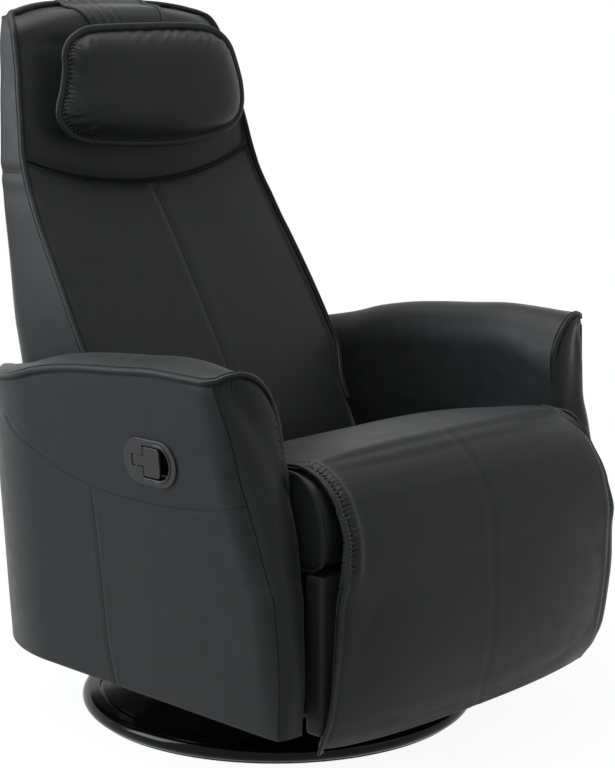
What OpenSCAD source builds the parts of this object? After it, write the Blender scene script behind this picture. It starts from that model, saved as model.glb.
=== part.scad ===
// Swivel glider recliner with a round base, a flush pull latch and a head pillow on a strap.
// Z is up, the chair faces -Y, and the origin is on the floor at the centre of the base.

/* [Base] */
// Radius of the base disc
base_r = 313; // [280:1:340]
// Thickness of the base disc
disc_t = 25; // [18:1:32]
// Thickness of the felt pad under the disc
pad_t = 3; // [2:0.5:6]
// Distance from the disc's edge in to the felt pad
pad_inset = 12; // [6:1:30]
// Radius of the set-in line in the disc's top
step_r = 286; // [240:1:295]
// Width of the set-in line
step_w = 6; // [3:0.5:10]
// Depth of the set-in line
step_d = 5; // [2:0.5:8]
// Radius of the hub
hub_r = 98; // [96:1:120]
// Height of the hub
hub_h = 10; // [8:1:14]

/* [Swivel] */
// Outer radius of the bearing races
race_r = 95; // [90:1:96]
// Inner radius of the bearing races
race_hole_r = 60; // [56:1:66]
// Thickness of one race
race_t = 5; // [4.5:0.5:8]
// Space between the races
race_gap = 1.6; // [1:0.1:2.4]
// Radius of the balls
ball_r = 4; // [3:0.25:4.5]
// Number of balls
ball_count = 12; // [8:1:20]
// Radius of the swivel stud
stud_r = 12; // [8:0.5:16]
// Side of the square swivel plate
plate_w = 300; // [260:5:340]
// Thickness of the swivel plate
plate_t = 6; // [4:0.5:8]
// Radius of the circle of hub bolts
bolt_circle_r = 40; // [30:1:48]
// Radius of a bolt's shank
bolt_r = 4; // [3:0.25:5]

/* [Glide] */
// Distance from the middle to the outer ends of the carriage beams
beam_half = 215; // [190:1:215]
// Depth of a carriage beam
beam_w = 30; // [24:1:40]
// Height of a carriage beam
beam_h = 20; // [14:1:28]
// Distance from the middle to the front and rear glide pivots
pivot_y = 120; // [100:1:125]
// Height of the lower glide pivots
low_pivot_z = 105; // [100:1:112]
// Length of a glide link between its pivots
link_len = 120; // [110:1:122]
// Width of a glide link
link_w = 28; // [24:1:32]
// Thickness of the steel plates of the glide
steel_t = 5; // [4:0.5:6]
// Radius of the glide pins
pin_r = 6; // [5:0.25:7]
// Wall of the bushes in the links
bush_t = 3; // [2:0.25:4]

/* [Seat frame] */
// Width of a side rail
rail_w = 30; // [20:1:34]
// Height of a side rail
rail_h = 35; // [25:1:38]
// Height of the cross tubes
tube_h = 25; // [18:1:30]
// Thickness of the seat boards
board_t = 20; // [16:1:24]
// Height of the seat boards
board_h = 63; // [55:1:68]
// Distance from the middle to the outside of the seat side boards
board_x = 282; // [276:1:284]
// Front of the seat frame
frame_front = 350; // [340:1:350]
// Number of seat springs
spring_count = 5; // [3:1:6]
// Thickness of the spring wire
wire_t = 4; // [3:0.5:5]

/* [Seat cushion] */
// Space between the seat cushion and each arm
seat_side_gap = 4; // [3:0.5:12]
// Front of the seat cushion
seat_front = 384; // [370:1:384]
// Thickness of the seat cushion's front edge
seat_t = 132; // [110:1:140]
// Swell of the middle of the seat cushion
seat_crown = 20; // [8:1:28]
// Drop of the seat's top from front to rear
seat_drop = 66; // [40:1:80]

/* [Arms] */
// Half the width over the arms at their foot
arm_foot_x = 382; // [370:1:400]
// How much further out an arm stands at its top
arm_flare = 32; // [10:1:45]
// Height of the arms' foot above the floor
arm_foot_z = 120; // [110:1:130]
// Height of an arm from its foot to its outer piping
arm_h = 484; // [440:1:520]
// Swell of an arm's top above its outer piping
arm_crown = 20; // [8:1:30]
// Front of the arms
arm_front = 395; // [380:1:398]
// Thickness of an arm at its foot
arm_foot_t = 46; // [40:1:52]
// Distance from the foot of an arm's outside in to its inner face at seat height
arm_waist_t = 72; // [66:1:74]
// Depth of the rake of an arm's front
arm_rake = 129; // [90:1:150]
// How far an arm narrows before its rear corner
arm_taper = 7; // [0:1:14]
// Radius of the rear corners in plan
corner_r = 250; // [235:1:262]
// Where the rear corners begin, behind the middle
corner_y = 120; // [112:1:126]
// Distance from the middle to the arms' flat rear ends
arm_end_x = 276; // [275:0.5:280]
// Thickness of the wooden arm frames
frame_t = 18; // [14:1:20]
// Height of the wooden arm frames
frame_h = 300; // [240:1:320]

/* [Latch] */
// Length of the latch bezel
bezel_len = 108; // [96:1:120]
// Height of the latch bezel
bezel_h = 69; // [62:1:76]
// Middle of the bezel, forward of the chair's middle
bezel_y = 153; // [140:1:165]
// Height of the bezel's middle
bezel_z = 475; // [466:1:480]
// Distance from the middle to the bezel's face
bezel_x = 407; // [405:0.5:410]
// Depth of the bezel's body
bezel_d = 24; // [20:1:26]
// Thickness of the pull paddle
paddle_t = 5; // [4:0.5:6]

/* [Leg rest] */
// Distance from the middle forward to the leg rest's pivot
leg_pivot_y = 397; // [396:0.5:400]
// Height of the leg rest's pivot
leg_pivot_z = 425; // [420:1:430]
// Length of the pad below the pivot
pad_len = 343; // [320:1:345]
// Greatest depth of the pad in front of the pivot
pad_depth = 48; // [40:1:54]
// Space between the leg rest and each arm
leg_side_gap = 4; // [3:0.5:16]
// Depth of the padded core behind the pad
core_d = 47; // [38:1:47]
// Height of the padded core
core_h = 216; // [180:1:216]
// Distance from the middle to the leg rest's hinge arms
leg_arm_x = 176; // [120:1:200]
// Thickness of the leg rest's hinge plates
leg_plate_t = 6; // [5:0.5:8]
// Radius of the leg rest's pins
leg_pin_r = 5; // [4:0.5:5.5]

/* [Back] */
// Height of the back's top above the floor
chair_h = 1097; // [1060:1:1120]
// Distance from the middle back to the recline pivot
back_pivot_y = 110; // [108:0.5:112]
// Height of the recline pivot
back_pivot_z = 345; // [343:0.5:347]
// How far the back's front edge lies behind the pivot at its top
back_reach = 301; // [270:1:320]
// Half the width of the back at its foot
back_half = 264; // [250:1:264]
// Depth of the back's foot behind the pivot
back_depth = 240; // [220:1:240]
// Thickness of the cushions on the back at their edges
cushion_t = 38; // [30:1:40]
// Swell of the back cushions
cushion_crown = 12; // [4:1:14]
// Thickness of the recline plates
hinge_t = 6; // [5:0.5:7]
// Radius of the recline pins
recline_pin_r = 8; // [6:0.5:9]
// Radius of the cross bar in the back
bar_r = 9; // [7:0.5:10]
// Distance from the middle to the outside of the back stiles
stile_x = 170; // [150:1:175]

/* [Pillow] */
// Half the greatest width of the pillow
pillow_half = 204; // [180:1:215]
// Height of the pillow
pillow_h = 200; // [170:1:210]
// Thickness of the pillow
pillow_t = 76; // [60:1:84]
// Distance from the back's top down to the pillow's middle
pillow_drop = 129; // [120:1:138]
// Width of the strap
strap_w = 158; // [120:1:180]
// Thickness of the strap
strap_t = 3; // [2:0.5:4]
// Height of the counterweight
weight_h = 60; // [40:1:70]
// Thickness of the counterweight
weight_t = 16; // [12:1:24]

/* [Hidden] */

// clearances
cut = 1;
touch = 0.3;
fit = 0.05;
open_fit = 0.3;
plate_gap = 1;
run = 2;
fine = 96;
plain = 48;

// heights of the base and the swivel
disc_top = pad_t + disc_t;
hub_top = disc_top + hub_h;
low_race_top = hub_top + race_t;
up_race_z = low_race_top + race_gap;
plate_z = up_race_z + race_t;
plate_top = plate_z + plate_t;
ball_ring_r = (race_r + race_hole_r) / 2;
ball_z = low_race_top + race_gap / 2;
ball_fit = 0.15;
nut_t = 9;
nut_r = 20;
washer_r = 26;
washer_t = 2.5;
head_h = 4;
bolt_len = hub_h + disc_t / 2;

// places across the glide, from the middle outwards
upright_x = beam_half;
link_x = upright_x + steel_t + plate_gap;
bracket_x = link_x + steel_t + run;
top_pivot_z = low_pivot_z + link_len;
upright_w = link_w + 2 * bush_t;
upright_over = 18;
pin_head_r = pin_r + bush_t;
pin_head_t = 3;
rail_z = top_pivot_z - pin_r - bush_t;
rail_x = bracket_x;
rail_top = rail_z + rail_h;
rail_front = 230;
rail_rear = pivot_y + link_w;

// half widths of the seat and the leg rest between the arms
seat_half = arm_foot_x - arm_waist_t - seat_side_gap;
leg_half = arm_foot_x - arm_waist_t - leg_side_gap;

// heights and places of the seat frame
tube_w = 25;
tube_front = 200;
tube_rear = 30;
tube_z = rail_top;
board_z = tube_z + tube_h;
board_top = board_z + board_h;
side_board_rear = 10;
cushion_z = board_top + touch;
bolt_places = [260, 120];
arm_bolt_z = board_z + board_h / 2;
arm_bolt_r = 5;
spring_pitch = 32;
spring_half = 22;
spring_z = board_top - 3 * wire_t;
spring_span = frame_front - board_t - (board_t - side_board_rear);
spring_turns = floor(spring_span / spring_pitch) - 1;

// places of the arms
frame_gap_x = 9;
frame_x = arm_foot_x - arm_foot_t + frame_gap_x;
frame_front_y = arm_front - 65;
frame_rear_y = 100;

// the recline joint across, from the back outwards
back_bracket_x = back_half + touch;
hinge_x = board_x;
eye_r = 22;
panel_t = 12;
panel_gap = 17;
panel_side_t = 8;
panel_drop = 100;
panel_top = back_pivot_z - panel_drop;

function mix(a, b, t) = a + (b - a) * t;
function power(v, e) = sign(v) * pow(abs(v), e);
function middle(ring) = [for (k = [0:2]) mean([for (p = ring) p[k]])];
function mean(v, i = 0, sum = 0) = i == len(v) ? sum / len(v) : mean(v, i + 1, sum + v[i]);

// a closed skin through rings of points that all have the same count
module loft(rings) {
    n = len(rings[0]);
    m = len(rings);
    points = concat([for (r = rings) each r], [middle(rings[0]), middle(rings[m - 1])]);
    walls = [for (j = [0:m - 2], i = [0:n - 1]) let (k = (i + 1) % n)
        each [[j * n + i, (j + 1) * n + i, j * n + k], [j * n + k, (j + 1) * n + i, (j + 1) * n + k]]];
    first = [for (i = [0:n - 1]) [m * n, i, (i + 1) % n]];
    last = [for (i = [0:n - 1]) [m * n + 1, (m - 1) * n + (i + 1) % n, (m - 1) * n + i]];
    polyhedron(points, concat(walls, first, last), convexity = 6);
}

// one ring of a cushion: across, and out from its flat back, thinner at its sides than in the middle
function cushion_ring(half, edge, mid, count, square) = [for (i = [0:count - 1]) let (
    a = 360 * i / count,
    u = power(cos(a), square),
    v = power(sin(a), square),
    t = mix(mid, edge, u * u)
) [half * u, t * (1 + v) / 2]];

module ring_2d(outer, inner) {
    difference() {
        circle(r = outer, $fn = fine);
        circle(r = inner, $fn = fine);
    }
}

// a round bar along X from one distance to another
module bar_x(from, to, r, y, z) {
    translate([from, y, z]) rotate([0, 90, 0]) cylinder(r = r, h = to - from, $fn = plain);
}

// a flat plate with its outline given as [y, z], standing across X
module plate_x(from, to) {
    translate([from, 0, 0]) rotate([90, 0, 90]) linear_extrude(to - from) children();
}

module both_sides() {
    children();
    mirror([1, 0, 0]) children();
}

// The base

module floor_pad() {
    color("dimgray") cylinder(r = base_r - pad_inset, h = pad_t, $fn = fine);
}

module base_disc() {
    lip_r = disc_t / 2;
    color([0.04, 0.04, 0.04]) translate([0, 0, pad_t]) difference() {
        rotate_extrude($fn = fine) difference() {
            union() {
                square([base_r - lip_r, disc_t]);
                translate([base_r - lip_r, lip_r]) circle(r = lip_r, $fn = plain);
            }
            translate([step_r - step_w, disc_t - step_d]) square([step_w, step_d + cut]);
        }
        hub_bolt_places() translate([0, 0, disc_t / 2]) cylinder(r = bolt_r + fit, h = disc_t, $fn = plain);
    }
}

module hub_bolt_places() {
    for (a = [45:90:315]) rotate(a) translate([bolt_circle_r, 0, 0]) children();
}

module hub() {
    color("gray") translate([0, 0, disc_top]) difference() {
        cylinder(r = hub_r, h = hub_h, $fn = fine);
        translate([0, 0, -cut]) cylinder(r = stud_r + fit, h = hub_h + 2 * cut, $fn = fine);
        hub_bolt_places() translate([0, 0, -cut])
            cylinder(r = bolt_r + fit, h = hub_h + 2 * cut, $fn = plain);
    }
}

// the groove that the balls run in
module ball_track() {
    rotate_extrude($fn = fine) translate([ball_ring_r, ball_z]) circle(r = ball_r + ball_fit, $fn = plain);
}

module lower_race() {
    color("silver") difference() {
        translate([0, 0, hub_top]) linear_extrude(race_t) ring_2d(race_r, race_hole_r);
        ball_track();
    }
}

module upper_race() {
    color("silver") difference() {
        translate([0, 0, up_race_z]) linear_extrude(race_t) ring_2d(race_r, race_hole_r);
        ball_track();
    }
}

module bearing_balls() {
    color("lightgray") for (i = [0:ball_count - 1])
        rotate(360 * i / ball_count) translate([ball_ring_r, 0, ball_z]) sphere(r = ball_r, $fn = plain);
}

module swivel_stud() {
    color("silver") translate([0, 0, disc_top])
        cylinder(r = stud_r, h = plate_top - disc_top + washer_t + nut_t + touch, $fn = fine);
}

module stud_nut() {
    color("gray") translate([0, 0, plate_top + touch]) difference() {
        union() {
            cylinder(r = washer_r, h = washer_t, $fn = fine);
            cylinder(r = nut_r, h = washer_t + nut_t, $fn = 6);
        }
        translate([0, 0, -cut]) cylinder(r = stud_r + fit, h = washer_t + nut_t + 2 * cut, $fn = fine);
    }
}

module hub_bolts() {
    color("gray") hub_bolt_places() {
        translate([0, 0, hub_top]) cylinder(r = 2 * bolt_r, h = head_h, $fn = 6);
        translate([0, 0, hub_top - bolt_len]) cylinder(r = bolt_r, h = bolt_len, $fn = plain);
    }
}

// The carriage that swivels

module swivel_plate() {
    color("gray") difference() {
        translate([-plate_w / 2, -plate_w / 2, plate_z]) cube([plate_w, plate_w, plate_t]);
        translate([0, 0, plate_z - cut]) cylinder(r = stud_r + fit, h = plate_t + 2 * cut, $fn = fine);
    }
}

module carriage_beams() {
    color([0.1, 0.1, 0.1]) for (side = [-1, 1])
        translate([-beam_half, side * pivot_y - beam_w / 2, plate_top]) cube([2 * beam_half, beam_w, beam_h]);
}

module glide_uprights() {
    color([0.1, 0.1, 0.1]) both_sides() for (side = [-1, 1]) difference() {
        translate([upright_x, side * pivot_y - upright_w / 2, plate_top])
            cube([steel_t, upright_w, top_pivot_z + upright_over - plate_top]);
        bar_x(upright_x - cut, upright_x + steel_t + cut, pin_r + fit, side * pivot_y, top_pivot_z);
    }
}

module upper_pins() {
    color("silver") both_sides() for (side = [-1, 1]) {
        bar_x(upright_x, link_x + steel_t, pin_r, side * pivot_y, top_pivot_z);
        bar_x(upright_x - pin_head_t, upright_x, pin_head_r, side * pivot_y, top_pivot_z);
    }
}

// The hanging links

module link(y) {
    difference() {
        union() {
            for (z = [low_pivot_z, top_pivot_z]) bar_x(link_x, link_x + steel_t, link_w / 2, y, z);
            translate([link_x, y - link_w / 2, low_pivot_z]) cube([steel_t, link_w, link_len]);
        }
        for (z = [low_pivot_z, top_pivot_z])
            bar_x(link_x - cut, link_x + steel_t + cut, pin_r + bush_t + fit, y, z);
    }
}

module link_bushes(y) {
    for (z = [low_pivot_z, top_pivot_z]) difference() {
        bar_x(link_x, link_x + steel_t, pin_r + bush_t, y, z);
        bar_x(link_x - cut, link_x + steel_t + cut, pin_r + fit, y, z);
    }
}

module front_links() {
    color("dimgray") both_sides() link(-pivot_y);
}

module rear_links() {
    color("dimgray") both_sides() link(pivot_y);
}

module front_bushes() {
    color("ivory") both_sides() link_bushes(-pivot_y);
}

module rear_bushes() {
    color("ivory") both_sides() link_bushes(pivot_y);
}

// The seat frame

module side_rails() {
    color([0.1, 0.1, 0.1]) both_sides()
        translate([rail_x, -rail_front, rail_z]) cube([rail_w, rail_front + rail_rear, rail_h]);
}

module cross_tubes() {
    color([0.1, 0.1, 0.1]) for (y = [-tube_front, -tube_rear])
        translate([-board_x, y, tube_z]) cube([2 * board_x, tube_w, tube_h]);
}

module link_brackets() {
    foot = link_w / 2;
    color([0.1, 0.1, 0.1]) both_sides() for (side = [-1, 1]) difference() {
        union() {
            bar_x(bracket_x, bracket_x + steel_t, foot, side * pivot_y, low_pivot_z);
            translate([bracket_x, side * pivot_y - foot, low_pivot_z])
                cube([steel_t, link_w, rail_z - low_pivot_z]);
        }
        bar_x(bracket_x - cut, bracket_x + steel_t + cut, pin_r + fit, side * pivot_y, low_pivot_z);
    }
}

module lower_pins() {
    color("silver") both_sides() for (side = [-1, 1]) {
        r = side < 0 ? pin_r : pin_r - open_fit;
        bar_x(link_x, bracket_x + steel_t, r, side * pivot_y, low_pivot_z);
        bar_x(bracket_x + steel_t, bracket_x + steel_t + pin_head_t, pin_head_r, side * pivot_y, low_pivot_z);
    }
}

module seat_side_boards() {
    color("burlywood") both_sides() difference() {
        translate([board_x - board_t, -frame_front + board_t, board_z])
            cube([board_t, frame_front - board_t + side_board_rear, board_h]);
        for (y = bolt_places) bar_x(board_x - board_t - cut, board_x + cut, arm_bolt_r + fit, -y, arm_bolt_z);
    }
}

module seat_cross_boards() {
    inner = board_x - board_t;
    color("burlywood") {
        translate([-board_x, -frame_front, board_z]) cube([2 * board_x, board_t, board_h]);
        translate([-inner, side_board_rear - board_t, board_z]) cube([2 * inner, board_t, board_h]);
    }
}

// one flat zigzag spring, from the front board to the rear board
module zigzag() {
    straight = 2 * spring_half;
    start = (spring_span - spring_turns * spring_pitch) / 2;
    outer = (spring_pitch + wire_t) / 2;
    inner = (spring_pitch - wire_t) / 2;
    for (k = [0:spring_turns])
        translate([-spring_half, start + k * spring_pitch - wire_t / 2]) square([straight, wire_t]);
    for (k = [0:spring_turns - 1]) {
        side = k % 2 == 0 ? 1 : -1;
        translate([side * spring_half, start + (k + 1 / 2) * spring_pitch]) difference() {
            circle(r = outer, $fn = plain);
            circle(r = inner, $fn = plain);
            translate([side > 0 ? -2 * outer : 0, -2 * outer]) square([2 * outer, 4 * outer]);
        }
    }
    end_side = spring_turns % 2 == 0 ? 1 : -1;
    translate([-spring_half, 0]) square([wire_t, start]);
    translate([end_side > 0 ? spring_half - wire_t : -spring_half, start + spring_turns * spring_pitch])
        square([wire_t, start]);
}

module seat_springs() {
    pitch_x = 2 * (board_x - board_t) / (spring_count + 1 / 2);
    color("silver") for (i = [0:spring_count - 1])
        translate([(i - (spring_count - 1) / 2) * pitch_x, -frame_front + board_t, spring_z])
            linear_extrude(wire_t) zigzag();
}

// rows of [place along the cushion, thickness of the side, drop, swell of the middle, width]
seat_shares = [
    [0, 0.56, 0, 0.1, 0.965], [0.012, 0.74, 0, 0.35, 0.985], [0.04, 0.89, 0, 0.6, 0.996],
    [0.08, 0.97, 0, 0.85, 1], [0.14, 1, 0, 1, 1], [0.28, 1, -0.04, 1, 1], [0.46, 1, 0.05, 1, 1],
    [0.64, 1, 0.25, 1, 1], [0.8, 1, 0.46, 0.95, 1], [0.92, 1, 0.7, 0.8, 1], [0.98, 0.97, 0.86, 0.5, 0.99],
    [1, 0.84, 0.9, 0.2, 0.97]
];
// where the rear of the cushion begins to lean back over its foot
seat_lean_share = 0.6;
seat_rear = back_pivot_y - 100;
seat_lean = 0.3;

module seat_cushion() {
    long = seat_front + seat_rear;
    color([0.13, 0.13, 0.13]) loft([for (i = [len(seat_shares) - 1:-1:0]) let (
        s = seat_shares[i],
        rear = max(0, s[0] - seat_lean_share) / (1 - seat_lean_share),
        edge = seat_t * s[1] - seat_drop * s[2]
    ) [for (p = cushion_ring(seat_half * s[4], edge, edge + seat_crown * s[3], 28, 0.32))
        [p[0], -seat_front + long * s[0] + rear * seat_lean * p[1], cushion_z + p[1]]]]);
}

// The arms

// rows of [place along the arm, height of the outer piping]
arm_top_shares = [
    [0.17, 0.998], [0.31, 1], [0.42, 0.988], [0.58, 0.968], [0.69, 0.944], [0.79, 0.892], [0.9, 0.864],
    [1, 0.846]
];
// rows of [depth into the raked front, height]
arm_front_shares = [
    [0, 0.2], [0.016, 0.23], [0.035, 0.3], [0.1, 0.4], [0.23, 0.527], [0.45, 0.663], [0.57, 0.733],
    [0.7, 0.82], [0.84, 0.905], [0.93, 0.96], [1, 0.998]
];
// the outline of a slice, as [from outside to inside, height], outside first
arm_slice_shares = [
    [0.06, 0], [0, 0.02], [0, 0.12], [0, 0.3], [0, 0.5], [0, 0.7], [0, 0.86], [0, 0.965], [0.03, 1],
    [0.14, 1], [0.3, 1], [0.48, 1], [0.66, 1], [0.8, 1], [0.91, 1], [0.98, 0.985], [1, 0.93], [1, 0.8],
    [1, 0.6], [1, 0.4], [1, 0.2], [1, 0.03], [0.92, 0]
];
// swell of the top from the outer piping to the inner edge
arm_swell_shares = [
    [0, 0], [0.14, 0.42], [0.3, 0.75], [0.48, 0.96], [0.66, 1], [0.8, 0.78], [0.91, 0.25], [1, -0.6]
];
arm_rear = corner_y + corner_r * 0.768;
arm_long = arm_front + arm_rear;
// how much further forward the inner edge of the front lies
arm_turn = 24;
// height of the seat against an arm
waist_share = 0.68;

function arm_outer(y) = y < corner_y
    ? arm_foot_x - arm_taper * (y + arm_front) / (corner_y + arm_front)
    : arm_foot_x - arm_taper - corner_r + sqrt(pow(corner_r, 2) - pow(y - corner_y, 2));
function arm_top(y) = arm_h * lookup((y + arm_front) / arm_long, arm_top_shares);
function front_top(y) = y + arm_front < arm_rake
    ? arm_h * lookup(max(0, y + arm_front) / arm_rake, arm_front_shares)
    : 2 * arm_h;
function slice_top(y, u) = min(
    arm_top(y) + arm_crown * lookup(u, arm_swell_shares),
    front_top(y + arm_turn * u)
);
function arm_point(y, u, v) = let (
    h = slice_top(y, u) * v,
    out = arm_outer(y) + arm_flare * pow(max(0, h) / arm_h, 1.2),
    inner = min(arm_foot_x - mix(arm_foot_t, arm_waist_t, min(1, h / arm_h / waist_share)),
        arm_outer(y) - arm_foot_t)
) [-mix(out, max(arm_end_x, inner), u), y, arm_foot_z + h];

arm_stations = concat(
    [for (s = arm_front_shares) -arm_front + arm_rake * s[0]],
    [for (k = [1:6]) mix(-arm_front + arm_rake, corner_y, k / 6)],
    [for (a = [8, 16, 24, 31, 38, 44, 48]) corner_y + corner_r * sin(a)],
    [arm_rear]
);

module arm_shape() {
    difference() {
        loft([for (y = arm_stations) [for (p = arm_slice_shares) arm_point(y, p[0], p[1])]]);
        translate([-frame_x - frame_t - touch, -frame_front_y - touch, arm_foot_z - cut])
            cube([frame_t + 2 * touch, frame_front_y + frame_rear_y + 2 * touch, frame_h + touch + cut]);
        for (y = bolt_places) bar_x(-frame_x - touch, -board_x, arm_bolt_r + touch, -y, arm_bolt_z);
    }
}

module right_arm() {
    color([0.13, 0.13, 0.13]) difference() {
        arm_shape();
        plate_x(-bezel_x - cut, -bezel_x + bezel_d + touch) bezel_outline(touch);
    }
}

module left_arm() {
    color([0.13, 0.13, 0.13]) mirror([1, 0, 0]) arm_shape();
}

module arm_frame() {
    difference() {
        translate([-frame_x - frame_t, -frame_front_y, arm_foot_z])
            cube([frame_t, frame_front_y + frame_rear_y, frame_h]);
        for (y = bolt_places)
            bar_x(-frame_x - frame_t / 2, -frame_x + cut, arm_bolt_r + fit, -y, arm_bolt_z);
    }
}

module right_arm_frame() {
    color("burlywood") arm_frame();
}

module left_arm_frame() {
    color("burlywood") mirror([1, 0, 0]) arm_frame();
}

module arm_bolts() {
    inner = board_x - board_t;
    color("silver") both_sides() for (y = bolt_places) {
        bar_x(inner, frame_x + frame_t / 2, arm_bolt_r, -y, arm_bolt_z);
        bar_x(inner - head_h, inner, 2 * arm_bolt_r, -y, arm_bolt_z);
    }
}

module front_fascia() {
    color([0.13, 0.13, 0.13]) translate([-board_x, -frame_front, arm_foot_z + panel_t])
        cube([2 * board_x, panel_t, board_z - arm_foot_z - panel_t]);
}

// how far behind the pivot the back's rear face lies, in plan, as a share of its depth there
function rear_bow(u) = 1 - 0.22 * pow(abs(u), 3.5);

module rear_panel() {
    x = arm_end_x - touch;
    reach = back_depth + panel_gap;
    steps = [for (i = [-8:8]) i / 8];
    half = x - panel_side_t;
    inner = [for (u = steps) [half * u, back_pivot_y + reach * rear_bow(u)]];
    outer = [for (u = steps) [x * u, back_pivot_y + panel_t + reach * rear_bow(u)]];
    side_y = arm_rear - 3 * panel_t;
    color([0.13, 0.13, 0.13]) translate([0, 0, arm_foot_z]) linear_extrude(panel_top - arm_foot_z)
        polygon(concat([[-x, side_y]], outer, [[x, side_y], [half, side_y]],
            [for (i = [len(inner) - 1:-1:0]) inner[i]], [[-half, side_y]]));
}

// The recline joint

module recline_plates() {
    y = back_pivot_y;
    z = back_pivot_z;
    low = board_z + steel_t;
    high = board_top - run;
    color("gray") both_sides() difference() {
        plate_x(hinge_x, hinge_x + hinge_t) union() {
            polygon([[-3 * eye_r, low], [0, low], [y, z - eye_r], [y, z + eye_r / 2], [side_board_rear, high],
                [-3 * eye_r, high]]);
            translate([y, z]) circle(r = eye_r, $fn = fine);
        }
        bar_x(hinge_x - cut, hinge_x + hinge_t + cut, recline_pin_r + fit, y, z);
    }
}

module recline_pins() {
    color("silver") both_sides() {
        bar_x(back_bracket_x + touch, hinge_x + hinge_t, recline_pin_r, back_pivot_y, back_pivot_z);
        bar_x(hinge_x + hinge_t, hinge_x + hinge_t + head_h, 2 * recline_pin_r, back_pivot_y, back_pivot_z);
    }
}

module recline_spacers() {
    from = back_bracket_x + hinge_t + touch;
    color("ivory") both_sides() difference() {
        bar_x(from, hinge_x, 2 * recline_pin_r, back_pivot_y, back_pivot_z);
        bar_x(from - cut, hinge_x + cut, recline_pin_r + fit, back_pivot_y, back_pivot_z);
    }
}

// The leg rest joint

leg_eye_r = 9;
leg_bar_w = 16;
// how far below the pivot the notches for the hinge plates reach into the pad
leg_notch = 24;
leg_bracket_x = leg_arm_x + leg_plate_t + run;
core_top = arm_foot_z + core_h;
core_front = frame_front + core_d + run;
arm_reach = 105;
slot_foot = board_z - 2 * run;

module leg_brackets() {
    low = board_z + steel_t;
    color("gray") both_sides() difference() {
        plate_x(leg_bracket_x, leg_bracket_x + leg_plate_t) union() {
            polygon([[-frame_front, low], [-frame_front, board_top - run],
                [-leg_pivot_y + leg_eye_r, board_top - run], [-leg_pivot_y + leg_eye_r, leg_pivot_z],
                [-leg_pivot_y - leg_eye_r / 2, leg_pivot_z],
                [-leg_pivot_y - leg_eye_r / 2, board_top - leg_bar_w]]);
            translate([-leg_pivot_y, leg_pivot_z]) circle(r = leg_eye_r, $fn = plain);
        }
        bar_x(leg_bracket_x - cut, leg_bracket_x + leg_plate_t + cut, leg_pin_r + fit, -leg_pivot_y,
            leg_pivot_z);
    }
}

module leg_pins() {
    color("silver") both_sides()
        bar_x(leg_arm_x - run, leg_bracket_x + leg_plate_t + run, leg_pin_r, -leg_pivot_y, leg_pivot_z);
}

module leg_arms() {
    color("gray") both_sides() difference() {
        plate_x(leg_arm_x, leg_arm_x + leg_plate_t) union() {
            translate([-leg_pivot_y - leg_eye_r / 2, core_top - arm_reach])
                square([leg_bar_w, leg_pivot_z - core_top + arm_reach]);
            translate([-leg_pivot_y, leg_pivot_z]) circle(r = leg_eye_r, $fn = plain);
        }
        bar_x(leg_arm_x - cut, leg_arm_x + leg_plate_t + cut, leg_pin_r + fit, -leg_pivot_y, leg_pivot_z);
    }
}

module leg_core() {
    foot = arm_foot_z;
    color([0.1, 0.1, 0.1]) difference() {
        translate([-leg_half, -core_front, foot]) cube([2 * leg_half, core_d, core_h]);
        both_sides() {
            translate([leg_arm_x - touch, -core_front - cut, core_top - arm_reach - touch])
                cube([leg_plate_t + 2 * touch, core_d - leg_bar_w + cut, arm_reach + touch + cut]);
            translate([leg_bracket_x - run / 2, -core_front - cut, slot_foot])
                cube([leg_plate_t + run, core_d + 2 * cut, core_h]);
        }
    }
}

// rows of [height from the foot, flat back, side depth, middle depth, width]
leg_pad_shares = [
    [0, 0.15, 0.08, 0.16, 0.9], [0.02, 0.07, 0.12, 0.26, 0.96], [0.06, 0.06, 0.18, 0.46, 0.985],
    [0.12, -0.1, 0.3, 0.7, 1], [0.26, -0.1, 0.42, 0.93, 1], [0.42, -0.1, 0.5, 1.0, 1],
    [0.58, -0.1, 0.55, 0.99, 1], [0.72, -0.1, 0.68, 0.88, 1], [0.83, -0.1, 0.72, 0.78, 1],
    [0.9, -0.1, 0.62, 0.66, 1], [0.945, 0.08, 0.48, 0.52, 0.995], [0.975, 0.22, 0.34, 0.36, 0.985],
    [1, 0.12, 0.16, 0.18, 0.96]
];

module leg_pad() {
    top = leg_pivot_z + leg_eye_r + run;
    foot = leg_pivot_z - pad_len;
    cut_h = leg_pivot_z - core_top + leg_notch;
    color([0.13, 0.13, 0.13]) difference() {
        loft([for (i = [len(leg_pad_shares) - 1:-1:0]) let (
            s = leg_pad_shares[i],
            edge = pad_depth * (s[2] + s[1]),
            mid = pad_depth * (s[3] + s[1])
        ) [for (p = cushion_ring(leg_half * s[4], edge, mid, 24, 0.4))
            [p[0], -leg_pivot_y + pad_depth * s[1] - p[1], mix(foot, top, s[0])]]]);
        both_sides() translate([leg_arm_x - 2 * run, -leg_pivot_y - leg_eye_r - run, leg_pivot_z - leg_notch])
            cube([leg_bracket_x + leg_plate_t + 4 * run - leg_arm_x, pad_depth, cut_h]);
        both_sides() translate([leg_arm_x - 2 * run, -leg_pivot_y - pad_depth, leg_pivot_z - leg_eye_r - run])
            cube([leg_bracket_x + leg_plate_t + 4 * run - leg_arm_x, 2 * pad_depth, cut_h]);
    }
}

// The latch

module stadium(len, h, grow) {
    for (side = [-1, 1]) translate([side * (len - h) / 2, 0]) circle(r = h / 2 + grow, $fn = fine);
    square([len - h, h + 2 * grow], center = true);
}

module bezel_outline(grow) {
    translate([-bezel_y, bezel_z]) stadium(bezel_len, bezel_h, grow);
}

well_len = 76;
well_h = 46;
well_d = 17;
head_len = 17;
paddle_head_h = 40;
stem_h = 15;
stem_len = 34;
latch_pin_r = 1.5;
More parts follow.
